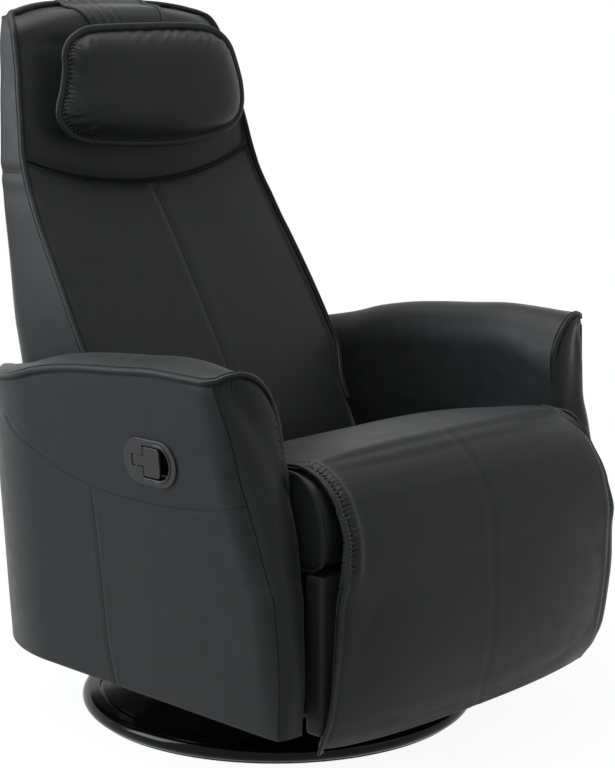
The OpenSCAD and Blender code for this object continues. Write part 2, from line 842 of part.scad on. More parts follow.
// the paddle's hinge line, seen from above
paddle_pivot_y = -bezel_y + well_len / 2 - stem_h / 2;
paddle_x = bezel_x - 2 * run;
paddle_pivot_x = paddle_x - paddle_t / 2;
latch_pin_h = well_h / 2;

module latch_bezel() {
    color([0.03, 0.03, 0.03]) difference() {
        plate_x(-bezel_x, -bezel_x + bezel_d) bezel_outline(0);
        plate_x(-bezel_x - cut, -bezel_x + well_d)
            translate([-bezel_y, bezel_z]) stadium(well_len, well_h, 0);
        translate([-paddle_pivot_x, paddle_pivot_y, bezel_z - latch_pin_h - run])
            cylinder(r = latch_pin_r + fit, h = 2 * (latch_pin_h + run), $fn = plain);
    }
}

module latch_pin() {
    color("silver") translate([-paddle_pivot_x, paddle_pivot_y, bezel_z - latch_pin_h - run])
        cylinder(r = latch_pin_r, h = 2 * (latch_pin_h + run), $fn = plain);
}

module latch_paddle() {
    x = -paddle_x;
    head_y = paddle_pivot_y - stem_len - head_len;
    color([0.06, 0.06, 0.06]) difference() {
        union() {
            translate([x, head_y, bezel_z - paddle_head_h / 2]) cube([paddle_t, head_len, paddle_head_h]);
            translate([x, head_y + head_len, bezel_z - stem_h / 2]) cube([paddle_t, stem_len, stem_h]);
            translate([-paddle_pivot_x, paddle_pivot_y, bezel_z - stem_h / 2])
                cylinder(r = paddle_t / 2, h = stem_h, $fn = plain);
        }
        translate([-paddle_pivot_x, paddle_pivot_y, bezel_z - stem_h])
            cylinder(r = latch_pin_r + fit, h = 2 * stem_h, $fn = plain);
    }
}

// The back

back_long = chair_h - back_pivot_z;
// level depth of the cushions, which lean back
cushion_d = cushion_t * 1.14;
// rows of [height above the pivot, place of the piping behind the pivot, half width]
back_front_shares = [
    [-0.08, -0.1, 1], [0, -0.2, 1], [0.05, -0.235, 1], [0.14, -0.115, 1], [0.31, 0.133, 1], [0.35, 0.196, 1],
    [0.485, 0.406, 0.98], [0.575, 0.545, 0.962], [0.657, 0.648, 0.94], [0.75, 0.708, 0.92],
    [0.857, 0.781, 0.883], [0.9, 0.811, 0.858], [0.94, 0.842, 0.828], [0.968, 0.89, 0.81], [1, 1, 0.79]
];
// rows of [height above the pivot, depth of the rear face behind the pivot]
back_rear_shares = [
    [-0.02, 1], [0.14, 1.078], [0.31, 1.178], [0.35, 1.203], [0.575, 1.281], [0.657, 1.309], [0.857, 1.382],
    [0.94, 1.405], [0.968, 1.381], [1, 1.32]
];
// rows of [height above the pivot, front pulled back, rear pulled forward, width lost] at the rounded ends
back_round_shares = [
    [-0.086, 0.87, 0.05, 0.06], [-0.07, 0.6, 0.01, 0.03], [-0.055, 0.3, 0, 0.01], [-0.035, 0.07, 0, 0.004],
    [-0.02, 0.02, 0, 0], [0, 0, 0, 0], [0.955, 0, 0, 0], [0.985, 0, 0.01, 0.012], [0.994, 0.01, 0.025, 0.03],
    [1, 0.03, 0.05, 0.075]
];
// furthest back that the body's front comes, behind the pivot, as a share of its depth
body_front_share = 1.23;
back_levels = [
    -0.086, -0.07, -0.055, -0.035, -0.02, 0, 0.05, 0.14, 0.31, 0.35, 0.485, 0.575, 0.657, 0.75, 0.857, 0.9,
    0.94, 0.955, 0.968, 0.985, 0.994, 1
];

function column(table, k) = [for (r = table) [r[0], r[k]]];
function piping_y(s) = back_pivot_y + back_reach * lookup(s, column(back_front_shares, 1));
function half_at(s) = back_half * lookup(s, column(back_front_shares, 2));
function rear_y(s) = back_pivot_y + back_depth * lookup(s, back_rear_shares);
function level_z(s) = back_pivot_z + back_long * s;

// front and rear of the body in the middle, grown outwards by grow, and the height of that level
function body_front(s, grow) = min(piping_y(s) + cushion_d, back_pivot_y + back_depth * body_front_share)
    + lookup(s, column(back_round_shares, 1)) * back_depth - grow;
function body_rear(s, grow) = max(rear_y(s) - lookup(s, column(back_round_shares, 2)) * back_depth + grow,
    body_front(s, grow) + cushion_t / 4);
function body_z(s, grow) = level_z(s) + grow * max(0, s - 0.9) * 10;

// one level slice of the body
function back_ring(s) = let (
    half = half_at(s) - lookup(s, column(back_round_shares, 3)) * back_half,
    front = body_front(s, 0),
    rear = body_rear(s, 0)
) [for (i = [0:27]) let (
    a = 360 * i / 28,
    u = power(cos(a), 0.22),
    v = power(sin(a), 0.22),
    bow = (rear_y(s) - back_pivot_y) * (1 - rear_bow(u)),
    y_rear = max(rear - bow, front + cushion_t / 8)
) [half * u, v < 0 ? mix((front + y_rear) / 2, front, -v) : mix((front + y_rear) / 2, y_rear, v),
    level_z(s)]];

// side view of the wooden stiles, as shares of the back's depth and height
stile_shares = [[0.21, -0.02], [0.4, -0.02], [1.17, 0.66], [1.24, 0.86], [1.17, 0.86], [1.02, 0.66]];

module stile_outline(grow) {
    offset(delta = grow) polygon([for (p = stile_shares) [back_pivot_y + back_depth * p[0], level_z(p[1])]]);
}

bar_y = back_pivot_y + back_depth * 0.4;
bar_z = level_z(0.035);

module back_body() {
    hollow = stile_x + run;
    color([0.13, 0.13, 0.13]) difference() {
        loft([for (s = back_levels) back_ring(s)]);
        plate_x(-hollow, hollow) union() {
            stile_outline(touch);
            polygon([for (p = [stile_shares[0], stile_shares[1]], k = [0, 1])
                [back_pivot_y + back_depth * p[0] + (p[0] > stile_shares[0][0] ? touch : -touch),
                    level_z(p[1]) + (k == (p[0] > stile_shares[0][0] ? 0 : 1) ? -back_depth / 4 : touch)]]);
        }
        bar_x(-back_half - cut, back_half + cut, bar_r + touch, bar_y, bar_z);
    }
}

module back_stiles() {
    color("burlywood") both_sides() difference() {
        plate_x(stile_x - board_t, stile_x)
            polygon([for (p = stile_shares) [back_pivot_y + back_depth * p[0], level_z(p[1])]]);
        bar_x(stile_x - board_t - cut, stile_x + cut, bar_r + fit, bar_y, bar_z);
    }
}

// rows of [height, depth of the rail's middle], as shares of the back's height and depth
back_rail_shares = [[0.24, 0.607], [0.45, 0.851], [0.66, 1.1], [0.83, 1.19]];
back_rail_h = 40;
back_rail_t = 10;

module back_rails() {
    half = stile_x - board_t;
    color("burlywood") for (r = back_rail_shares)
        translate([-half, back_pivot_y + back_depth * r[1], level_z(r[0])])
            translate([0, -back_rail_t / 2, -back_rail_h / 2]) cube([2 * half, back_rail_t, back_rail_h]);
}

module back_cross_bar() {
    color("silver") bar_x(-back_half - touch, back_half + touch, bar_r, bar_y, bar_z);
}

module back_brackets() {
    from = back_bracket_x;
    end_r = bar_r + steel_t;
    color("gray") both_sides() difference() {
        plate_x(from, from + hinge_t) union() {
            translate([back_pivot_y, back_pivot_z]) circle(r = eye_r, $fn = fine);
            translate([bar_y, bar_z]) circle(r = end_r, $fn = fine);
            polygon([[back_pivot_y, back_pivot_z - eye_r], [bar_y, bar_z - end_r], [bar_y, bar_z + end_r],
                [back_pivot_y, back_pivot_z + eye_r]]);
        }
        bar_x(from - cut, from + hinge_t + cut, recline_pin_r + fit, back_pivot_y, back_pivot_z);
    }
}

// rows of [height above the pivot, side thickness, swell, width, sag] of the two cushions on the back
back_cushion_shares = [
    [0.035, 0.35, 0, 0.95, 0], [0.05, 0.75, 0.15, 0.98, 0], [0.08, 0.95, 0.4, 0.99, 0],
    [0.14, 1, 0.8, 0.995, 0], [0.22, 1, 1, 0.995, 0], [0.31, 1, 1, 0.995, 0], [0.35, 1, 1, 0.995, 0],
    [0.485, 1, 1, 0.995, 0.15], [0.575, 1, 0.95, 0.995, 0.5], [0.63, 1, 0.75, 0.995, 0.8],
    [0.664, 0.9, 0.4, 0.985, 1], [0.677, 0.5, 0.1, 0.96, 1]
];
head_cushion_shares = [
    [0.684, 0.5, 0.1, 0.96, 1], [0.695, 0.9, 0.5, 0.985, 1], [0.72, 1, 0.85, 0.995, 0.8],
    [0.75, 1, 1, 0.995, 0.55], [0.8, 1, 1, 0.995, 0.2], [0.857, 1, 1, 0.995, 0], [0.9, 1, 1, 0.995, 0],
    [0.94, 0.95, 0.7, 0.985, 0], [0.955, 0.85, 0.5, 0.97, 0], [0.968, 0.5, 0.2, 0.93, 0]
];
// drop of the middle of the seam between them
seam_sag = 46;
pad_touch = 0.5;

module back_pad(rows) {
    color([0.13, 0.13, 0.13]) loft([for (i = [len(rows) - 1:-1:0]) let (
        r = rows[i],
        half = half_at(r[0]) * r[3],
        thick = (body_front(r[0], pad_touch) - piping_y(r[0])) * r[1]
    ) [for (p = cushion_ring(half, thick, thick + cushion_crown * r[2], 24, 0.3)) let (
        s = r[0] - seam_sag * r[4] * (1 - pow(p[0] / half, 2)) / back_long
    ) [p[0], body_front(s, pad_touch) - p[1], level_z(s)]]]);
}

module back_cushion() {
    back_pad(back_cushion_shares);
}

module head_cushion() {
    back_pad(head_cushion_shares);
}

// The pillow, its strap and its counterweight

// lean of the head cushion, and of the rear face behind it
head_lean = atan((piping_y(0.94) - piping_y(0.657)) / (level_z(0.94) - level_z(0.657)));
rear_lean = atan((rear_y(0.87) - rear_y(0.76)) / (level_z(0.87) - level_z(0.76)));
// rows of [height, width, side thickness, middle thickness] of the pillow
pillow_shares = [
    [0, 0.8, 0.1, 0.2], [0.02, 0.89, 0.16, 0.4], [0.07, 0.95, 0.22, 0.66], [0.16, 0.985, 0.3, 0.86],
    [0.3, 1, 0.34, 0.97], [0.46, 0.97, 0.34, 1], [0.62, 0.93, 0.34, 1], [0.76, 0.905, 0.34, 0.93],
    [0.87, 0.875, 0.28, 0.8], [0.95, 0.82, 0.2, 0.52], [1, 0.7, 0.1, 0.2]
];
pillow_z = chair_h - pillow_drop;
pillow_s = (pillow_z - back_pivot_z) / back_long;
// the pillow hangs nearly upright, so it rests on the head cushion below its middle
pillow_lean = 3;
rest_share = 0.32;
rest_tuck_share = 0.066;
rest_drop = pillow_h * rest_share;
pillow_out = rest_drop * (tan(head_lean) - tan(pillow_lean)) - pillow_t * rest_tuck_share;

module pillow() {
    back = piping_y(pillow_s) - (cushion_crown + touch) / cos(head_lean) - pillow_out;
    color([0.13, 0.13, 0.13]) translate([0, back, pillow_z]) rotate([-pillow_lean, 0, 0])
        loft([for (i = [len(pillow_shares) - 1:-1:0]) let (s = pillow_shares[i])
            [for (p = cushion_ring(pillow_half * s[1], pillow_t * s[2], pillow_t * s[3], 28, 0.6))
                let (tuck = pillow_t * (1 - mix(s[3], s[2], pow(p[0] / pillow_half / s[1], 2))) / 2)
                [p[0], -p[1] - tuck, pillow_h * (s[0] - 0.5)]]]);
}

strap_touch = 0.8;
strap_levels = [0.72, 0.857, 0.9, 0.94, 0.955, 0.968, 0.985, 0.994, 1];

// the side view of the strap at one distance from the body
function strap_line(grow) = concat(
    [for (s = strap_levels) [body_rear(s, grow), body_z(s, grow)]],
    [for (s = [1, 0.994, 0.985]) [body_front(s, grow), body_z(s, grow)]]
);

module strap() {
    inner = strap_line(strap_touch);
    color([0.1, 0.1, 0.1]) plate_x(-strap_w / 2, strap_w / 2)
        polygon(concat(strap_line(strap_t + strap_touch), [for (i = [len(inner) - 1:-1:0]) inner[i]]));
}

module counterweight() {
    s = 0.79;
    r = weight_t / 2;
    color([0.1, 0.1, 0.1]) translate([0, rear_y(s) + (strap_t + strap_touch + touch) / cos(rear_lean), level_z(s)])
        rotate([-rear_lean, 0, 0]) translate([-strap_w / 2, 0, -weight_h / 2]) hull() {
            cube([strap_w, r, weight_h]);
            for (z = [r, weight_h - r])
                translate([0, r, z]) rotate([0, 90, 0]) cylinder(r = r, h = strap_w, $fn = 32);
        }
}

floor_pad();
base_disc();
hub();
lower_race();
bearing_balls();
swivel_stud();
stud_nut();
hub_bolts();
upper_race();
swivel_plate();
carriage_beams();
glide_uprights();
upper_pins();
front_links();
rear_links();
front_bushes();
rear_bushes();
side_rails();
cross_tubes();
link_brackets();
lower_pins();
seat_side_boards();
seat_cross_boards();
seat_springs();
seat_cushion();
right_arm();
left_arm();
right_arm_frame();
left_arm_frame();
arm_bolts();
front_fascia();
rear_panel();
recline_plates();
recline_pins();
recline_spacers();
leg_brackets();
leg_pins();
latch_bezel();
latch_pin();
latch_paddle();
back_body();
back_stiles();
back_rails();
back_cross_bar();
back_brackets();
back_cushion();
head_cushion();
strap();
pillow();
counterweight();
leg_arms();
leg_core();
leg_pad();
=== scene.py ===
import math

import bmesh
import bpy
import numpy as np
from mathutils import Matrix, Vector


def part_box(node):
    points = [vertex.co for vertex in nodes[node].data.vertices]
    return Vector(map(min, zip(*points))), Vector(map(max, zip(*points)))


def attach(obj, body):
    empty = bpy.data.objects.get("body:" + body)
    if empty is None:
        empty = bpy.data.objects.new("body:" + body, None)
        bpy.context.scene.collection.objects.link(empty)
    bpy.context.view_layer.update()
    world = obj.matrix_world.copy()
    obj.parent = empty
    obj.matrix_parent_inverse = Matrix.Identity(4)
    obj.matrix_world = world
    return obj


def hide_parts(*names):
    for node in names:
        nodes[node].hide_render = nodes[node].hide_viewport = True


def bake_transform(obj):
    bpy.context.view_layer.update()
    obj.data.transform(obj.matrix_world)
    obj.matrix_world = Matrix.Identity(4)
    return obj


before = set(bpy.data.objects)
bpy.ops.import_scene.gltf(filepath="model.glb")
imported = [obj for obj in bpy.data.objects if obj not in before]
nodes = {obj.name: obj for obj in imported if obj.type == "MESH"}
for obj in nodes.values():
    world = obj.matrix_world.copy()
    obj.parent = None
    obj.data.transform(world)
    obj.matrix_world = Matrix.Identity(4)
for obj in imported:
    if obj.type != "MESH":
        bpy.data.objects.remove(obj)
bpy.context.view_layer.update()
scene = bpy.context.scene
mm = 0.001  # every table below is in millimetres

print("frame loaded,", len(nodes), "nodes")

# ---------- camera, world, lamps, floor

cameraView = {"place": (-2.271, -2.267, 1.113), "tilt": 79.39, "turn": -45.9, "lens": 97.6}

lamps = [
    # name, place, aims at, size across and up, watts, colour
    ("topSoftbox", (-0.5, 0.35, 2.9), (0, 0.05, 0.6), (2.4, 2.0), 92, (1.0, 0.99, 0.98)),
    ("leftSoftbox", (-2.7, 1.9, 2.0), (0, 0.1, 0.7), (1.8, 2.2), 165, (0.9, 0.93, 1.0)),
    ("frontFill", (0.8, -3.4, 1.3), (0, 0, 0.5), (2.2, 1.6), 6, (1.0, 0.99, 0.98)),
]

studio = {"light": 0.58, "tint": (0.97, 0.98, 1.0), "white": 1.0, "floorHalf": 12, "floorPaint": 0.9,
          # share of plain white on the floor, from the base outwards, and where it grows in metres
          "floorWhite": (0.93, 1.0), "floorFade": (0.35, 1.2)}


def aimCamera():
    lens = bpy.data.cameras.new("photoCamera")
    lens.lens = cameraView["lens"]
    lens.sensor_width = 36
    lens.clip_start, lens.clip_end = 0.05, 60
    camera = bpy.data.objects.new("photoCamera", lens)
    camera.location = cameraView["place"]
    camera.rotation_euler = (math.radians(cameraView["tilt"]), 0, math.radians(cameraView["turn"]))
    scene.collection.objects.link(camera)
    scene.camera = camera


def hangLamps():
    for name, place, target, size, watts, colour in lamps:
        light = bpy.data.lights.new(name, "AREA")
        light.shape = "RECTANGLE"
        light.size, light.size_y = size
        light.energy = watts
        light.color = colour
        lamp = bpy.data.objects.new(name, light)
        lamp.location = place
        lamp.rotation_euler = (Vector(target) - Vector(place)).to_track_quat("-Z", "Y").to_euler()
        scene.collection.objects.link(lamp)


def feed(tree, node, sockets):
    # each socket gets a link or a plain value
    for name, value in sockets.items():
        if isinstance(value, bpy.types.NodeSocket):
            tree.links.new(value, node.inputs[name])
        elif isinstance(value, tuple) and node.inputs[name].type == "RGBA":
            node.inputs[name].default_value = (*value, 1)
        else:
            node.inputs[name].default_value = value


def addNode(tree, kind, sockets, out=0, **settings):
    # a shader node with its settings and sockets; gives the output that is asked for
    node = tree.nodes.new("ShaderNode" + kind)
    for key, value in settings.items():
        setattr(node, key, value)
    feed(tree, node, sockets)
    return node.outputs[out] if node.outputs else None


def spread(tree, value, low, high, fromLow=0.3, fromHigh=0.7):
    return addNode(tree, "MapRange", {"Value": value, "From Min": fromLow, "From Max": fromHigh,
                                      "To Min": low, "To Max": high}, "Result")


def whiteRays(tree):
    # 1 for camera, glossy and transmission rays, so they see the plain white background
    white = addNode(tree, "LightPath", {}, "Is Camera Ray")
    for ray in ("Is Glossy Ray", "Is Transmission Ray"):
        white = addNode(tree, "Math", {0: white, 1: addNode(tree, "LightPath", {}, ray)}, operation="MAXIMUM")
    return white


def paintWorld():
    world = bpy.data.worlds.new("studio")
    world.use_nodes = True
    scene.world = world
    tree = world.node_tree
    tree.nodes.clear()
    light = addNode(tree, "Background", {"Color": studio["tint"], "Strength": studio["light"]})
    white = addNode(tree, "Background", {"Color": (1, 1, 1), "Strength": studio["white"]})
    addNode(tree, "OutputWorld", {0: addNode(tree, "MixShader", {0: whiteRays(tree), 1: light, 2: white})})


def layFloor():
    data = bpy.data.meshes.new("studioFloor")
    half = studio["floorHalf"]
    corners = [(-half, -half, 0), (half, -half, 0), (half, half, 0), (-half, half, 0)]
    data.from_pydata(corners, [], [(0, 1, 2, 3)])
    floor = bpy.data.objects.new("studioFloor", data)
    scene.collection.objects.link(floor)
    material = bpy.data.materials.new("paleFloor")
    material.use_nodes = True
    tree = material.node_tree
    tree.nodes.clear()
    paint = addNode(tree, "BsdfDiffuse", {"Color": (studio["floorPaint"],) * 3})
    glow = addNode(tree, "Emission", {"Color": (1, 1, 1), "Strength": studio["white"]})
    # the shadow shows round the base and fades out into plain white
    place = addNode(tree, "TexCoord", {}, "Object")
    away = addNode(tree, "VectorMath", {0: place}, "Value", operation="LENGTH")
    fade = spread(tree, away, *studio["floorWhite"], *studio["floorFade"])
    share = addNode(tree, "Math", {0: whiteRays(tree), 1: fade}, operation="MULTIPLY")
    addNode(tree, "OutputMaterial", {0: addNode(tree, "MixShader", {0: share, 1: paint, 2: glow})})
    data.materials.append(material)


aimCamera()
hangLamps()
paintWorld()
layFloor()
scene.view_settings.view_transform = "Standard"
print("camera, lamps and floor are set")

# ---------- materials

leatherLooks = {
    # grain is the pebble's scale, depth how far it stands out, wear the colour of rubbed edges
    "blackLeather": {"colour": (0.0056, 0.0059, 0.006), "other": (0.0076, 0.0079, 0.0081), "rough": (0.4, 0.5),
                     "grain": 950, "depth": 0.00022, "specular": 0.14, "wear": (0.012, 0.012, 0.0125)},
    # seamPaintedShade is near black: painted shade for the grooves along seams and beside pipings
    "seamPaintedShade": {"colour": (0.0014,) * 3, "other": (0.0022,) * 3, "rough": (0.5, 0.6),
                    "grain": 950, "depth": 0.0002, "specular": 0.08, "wear": (0.004,) * 3},
    # paddedBlackPaintedLight is the black leather about 1.4 times lighter: painted light that lifts the parts
    # sitting in shade
    "paddedBlackPaintedLight": {"colour": (0.0078, 0.0079, 0.008), "other": (0.0104, 0.0105, 0.0106), "rough": (0.42, 0.52),
                    "grain": 800, "depth": 0.00025, "specular": 0.13, "wear": (0.01,) * 3},
}

hardLooks = {
    "glossyPlastic": {"colour": (0.003,) * 3, "other": (0.004,) * 3, "rough": (0.16, 0.24), "scale": 40,
                      "specular": 0.25},
    "satinPlastic": {"colour": (0.0078, 0.0078, 0.0081), "other": (0.0098, 0.0098, 0.0101),
                     "rough": (0.36, 0.44), "scale": 80, "bump": 0.00003, "specular": 0.3},
    "baseLacquer": {"colour": (0.0012,) * 3, "other": (0.0016,) * 3, "rough": (0.12, 0.15), "scale": 12,
                    "specular": 0.12},
    "blackSteel": {"colour": (0.02,) * 3, "other": (0.03, 0.03, 0.031), "rough": (0.4, 0.55), "metal": 0.2,
                   "scale": 90, "bump": 0.00005},
    "zincSteel": {"colour": (0.5, 0.5, 0.49), "other": (0.62, 0.62, 0.6), "rough": (0.3, 0.45), "metal": 1.0,
                  "scale": 50, "stretch": (1, 8, 1), "bump": 0.00003},
    "bearingSteel": {"colour": (0.6,) * 3, "other": (0.7,) * 3, "rough": (0.12, 0.22), "metal": 1.0,
                     "scale": 30},
    "ivoryNylon": {"colour": (0.7, 0.67, 0.58), "other": (0.76, 0.73, 0.65), "rough": (0.4, 0.5), "scale": 70},
    "greyFelt": {"colour": (0.05,) * 3, "other": (0.09,) * 3, "rough": (0.85, 0.95), "scale": 300,
                 "bump": 0.0003, "specular": 0.2},
    "waxedThread": {"colour": (0.02,) * 3, "other": (0.03,) * 3, "rough": (0.45, 0.55), "scale": 900,
                    "bump": 0.0001},
}


def newMaterial(name):
    material = bpy.data.materials.new(name)
    material.use_nodes = True
    tree = material.node_tree
    return material, tree, tree.nodes["Principled BSDF"], addNode(tree, "TexCoord", {}, "Object")


def noiseOf(tree, place, scale, detail, rough):
    sockets = {"Vector": place, "Scale": scale, "Detail": detail, "Roughness": rough}
    return addNode(tree, "TexNoise", sockets, "Fac")


def blendColours(tree, share, first, second):
    # sockets 6 and 7 are the mix node's two colours, output 2 is its colour
    return addNode(tree, "Mix", {"Factor": share, 6: first, 7: second}, 2, data_type="RGBA")


def bumpOf(tree, height, strength, distance, before=None):
    sockets = {"Height": height, "Strength": strength, "Distance": distance}
    if before is not None:
        sockets["Normal"] = before
    return addNode(tree, "Bump", sockets, "Normal")


def tanLeather(name, look):
    material, tree, shader, place = newMaterial(name)
    # soft hand marks, then the fine pebble of the grain, then the pores
    hand = noiseOf(tree, place, 14, 2.0, 0.45)
    patch = noiseOf(tree, place, 38, 4.0, 0.55)
    pores = noiseOf(tree, place, 2100, 1.0, 0.5)
    pebble = addNode(tree, "TexVoronoi", {"Scale": look["grain"], "Smoothness": 0.6, "Randomness": 1.0,
                                          "Vector": place}, "Distance", feature="SMOOTH_F1")
    normal = bumpOf(tree, hand, 0.35, 0.0016)
    normal = bumpOf(tree, pebble, 0.5, look["depth"], normal)
    normal = bumpOf(tree, pores, 0.3, look["depth"] * 0.4, normal)
    worn = spread(tree, addNode(tree, "NewGeometry", {}, "Pointiness"), 0, 0.75, 0.53, 0.66)
    plain = blendColours(tree, spread(tree, patch, 0, 1), look["colour"], look["other"])
    feed(tree, shader, {"Base Color": blendColours(tree, worn, plain, look["wear"]), "Normal": normal,
                        "Roughness": spread(tree, patch, *look["rough"]), "Sheen Weight": 0.04,
                        "Sheen Roughness": 0.45, "Specular IOR Level": look["specular"]})
    return material


def hardFinish(name, look):
    material, tree, shader, place = newMaterial(name)
    if "stretch" in look:
        place = addNode(tree, "Mapping", {"Vector": place, "Scale": look["stretch"]})
    cloud = noiseOf(tree, place, look["scale"], 4.0, 0.6)
    fine = noiseOf(tree, place, look["scale"] * 9, 2.0, 0.5)
    colour = blendColours(tree, spread(tree, cloud, 0, 1), look["colour"], look["other"])
    feed(tree, shader, {"Base Color": colour, "Roughness": spread(tree, fine, *look["rough"]),
                        "Metallic": look.get("metal", 0.0), "Specular IOR Level": look.get("specular", 0.5)})
    if "bump" in look:
        feed(tree, shader, {"Normal": bumpOf(tree, fine, 0.4, look["bump"])})
    return material


def sawnBoard(name):
    material, tree, shader, place = newMaterial(name)
    layers = addNode(tree, "Mapping", {"Vector": place, "Scale": (6, 1, 30)})
    ply = noiseOf(tree, layers, 9, 5.0, 0.6)
    pore = noiseOf(tree, layers, 120, 2.0, 0.5)
    colour = blendColours(tree, spread(tree, ply, 0, 1), (0.42, 0.27, 0.14), (0.62, 0.45, 0.27))
    feed(tree, shader, {"Base Color": colour, "Roughness": spread(tree, pore, 0.55, 0.75),
                        "Normal": bumpOf(tree, pore, 0.3, 0.0004)})
    return material


leather = {name: tanLeather(name, look) for name, look in leatherLooks.items()}
metals = {name: hardFinish(name, look) for name, look in hardLooks.items()}
metals["sawnPly"] = sawnBoard("sawnPly")
print("materials are mixed")

nodeFinish = {
    "baseLacquer": ["base_disc"],
    "greyFelt": ["floor_pad"],
    "blackSteel": ["hub", "swivel_plate", "carriage_beams", "glide_uprights", "side_rails", "cross_tubes",
                   "link_brackets", "front_links", "rear_links", "leg_brackets", "leg_arms", "recline_plates",
                   "back_brackets", "arm_bolts", "leg_pins"],
    "bearingSteel": ["lower_race", "upper_race", "bearing_balls"],
    "zincSteel": ["swivel_stud", "stud_nut", "hub_bolts", "upper_pins", "lower_pins", "recline_pins",
                  "latch_pin", "seat_springs", "back_cross_bar"],
    "ivoryNylon": ["front_bushes", "rear_bushes", "recline_spacers"],
    "sawnPly": ["right_arm_frame", "left_arm_frame", "back_stiles", "back_rails"],
    "satinPlastic": ["latch_paddle"],
    "glossyPlastic": ["latch_bezel"],
    "blackLeather": ["rear_panel", "front_fascia", "seat_side_boards", "seat_cross_boards"],
    # the lighter copy of the black leather, painted light, on these nodes
    "paddedBlackPaintedLight": ["strap", "counterweight", "leg_core"],
}
for finish, names in nodeFinish.items():
    for name in names:
        nodes[name].data.materials.clear()
        nodes[name].data.materials.append({**leather, **metals}[finish])

# ---------- shaping tools


def smoothRow(x, rows, column=1):
    # a smooth curve through a table, with no overshoot between its rows
    xs = np.array([r[0] for r in rows], float)
    ys = np.array([r[column] for r in rows], float)
    x = np.clip(np.asarray(x, float), xs[0], xs[-1])
    step = np.diff(xs)
    rise = np.diff(ys) / step
    slope = np.zeros(len(xs))
    same = rise[:-1] * rise[1:] > 0
    both = np.where(np.abs(rise[:-1] + rise[1:]) > 1e-12, rise[:-1] + rise[1:], 1)
    slope[1:-1] = np.where(same, 2 * rise[:-1] * rise[1:] / both, 0)
    slope[0], slope[-1] = rise[0], rise[-1]
    k = np.clip(np.searchsorted(xs, x, side="right") - 1, 0, len(xs) - 2)
    t = (x - xs[k]) / step[k]
    return ((1 + 2 * t) * (1 - t) ** 2 * ys[k] + t * (1 - t) ** 2 * step[k] * slope[k]
            + t * t * (3 - 2 * t) * ys[k + 1] + t * t * (t - 1) * step[k] * slope[k + 1])


def ease(t):
    t = np.clip(t, 0, 1)
    return t * t * (3 - 2 * t)


def mix(a, b, t):
    return a + (b - a) * t


def unit(v):
    return v / np.maximum(np.linalg.norm(v, axis=-1, keepdims=True), 1e-9)


def runLength(line):
    return np.concatenate([[0], np.cumsum(np.linalg.norm(np.diff(line, axis=0), axis=1))])


def takeAt(at, run, line):
    # the places on a line at which its run has the given lengths
    return np.stack([np.interp(at, run, line[:, k]) for k in range(line.shape[1])], axis=-1)


def cubic(a, b, c, d, t):
    return 0.5 * (2 * b + (c - a) * t + (2 * a - 5 * b + 4 * c - d) * t ** 2 + (3 * b - a - 3 * c + d) * t ** 3)


def curveThrough(points, steps, closed=False):
    # a dense smooth curve through the points, with as many steps between each two
    p = np.asarray(points, float)
    around = np.vstack([p[-1], p, p[0], p[1]] if closed else [2 * p[0] - p[1], p, 2 * p[-1] - p[-2]])
    t = np.linspace(0, 1, steps, endpoint=False)[:, None]
    parts = [cubic(*around[i - 1:i + 3], t) for i in range(1, len(around) - 2)]
    return np.vstack(parts + [p[:1] if closed else p[-1:]])


def smoothLine(points, step=2.0, closed=False, count=None):
    # an even run of points along a smooth curve through the given ones
    dense = curveThrough(points, 24, closed)
    run = runLength(dense)
    number = count or max(3, int(round(run[-1] / step)) + 1)
    return takeAt(np.linspace(0, run[-1], number, endpoint=not closed), run, dense)


def normalsOf(grid):
    return unit(np.cross(np.gradient(grid, axis=1), np.gradient(grid, axis=0)))


def faceTo(grid, look):
    # turns a grid so that its normals look the given way, which can be one for each point
    return grid if (normalsOf(grid) * look).sum() > 0 else grid[:, ::-1]


def lift(grid, amount):
    return grid + normalsOf(grid) * amount[..., None]


def stuff(grid, sides, puff, width, sink=False):
    # the skin rises from its sewn sides, or those sides sink below it; a side can bring its own width
    rise = np.ones(grid.shape[:2])
    for side in sides:
        side, reach = side if isinstance(side, tuple) else (side, width)
        axis = 1 if side[0] == "u" else 0
        run = np.cumsum(np.linalg.norm(np.diff(grid, axis=axis), axis=2), axis=axis)
        run = np.insert(run, 0, 0, axis=axis)
        if side[1] == "1":
            run = np.take(run, [-1], axis=axis) - run
        rise *= 1 - np.exp(-(run / reach) ** 1.6)
    return lift(grid, puff * (rise - 1 if sink else rise))


def ripple(points, size, seed):
    # smooth noise from a few crossed waves, the same on every run
    dice = np.random.RandomState(seed)
    total = np.zeros(points.shape[:-1])
    for _ in range(7):
        wave = dice.normal(size=3)
        wave /= np.linalg.norm(wave)
        total += np.sin(points @ wave * (2 * math.pi / size) * dice.uniform(0.6, 1.7) + dice.uniform(0, 6.28))
    return total / 3.0


def waver(at, size, seed):
    return ripple(np.column_stack([at, at * 0, at * 0]), size, seed)


def nearest(points, line):
    # distance to a run of points, and how far along it the nearest one is
    run = runLength(line)
    gap = np.full(len(points), 1e9)
    at = np.zeros(len(points))
    near = np.where((points > line.min(0) - 60).all(1) & (points < line.max(0) + 60).all(1))[0]
    for k in range(0, len(near), 3000):
        part = near[k:k + 3000]
        d = np.linalg.norm(points[part, None] - line[None], axis=2)
        best = d.argmin(1)
        gap[part] = d[np.arange(len(part)), best]
        at[part] = run[best]
    return gap, at


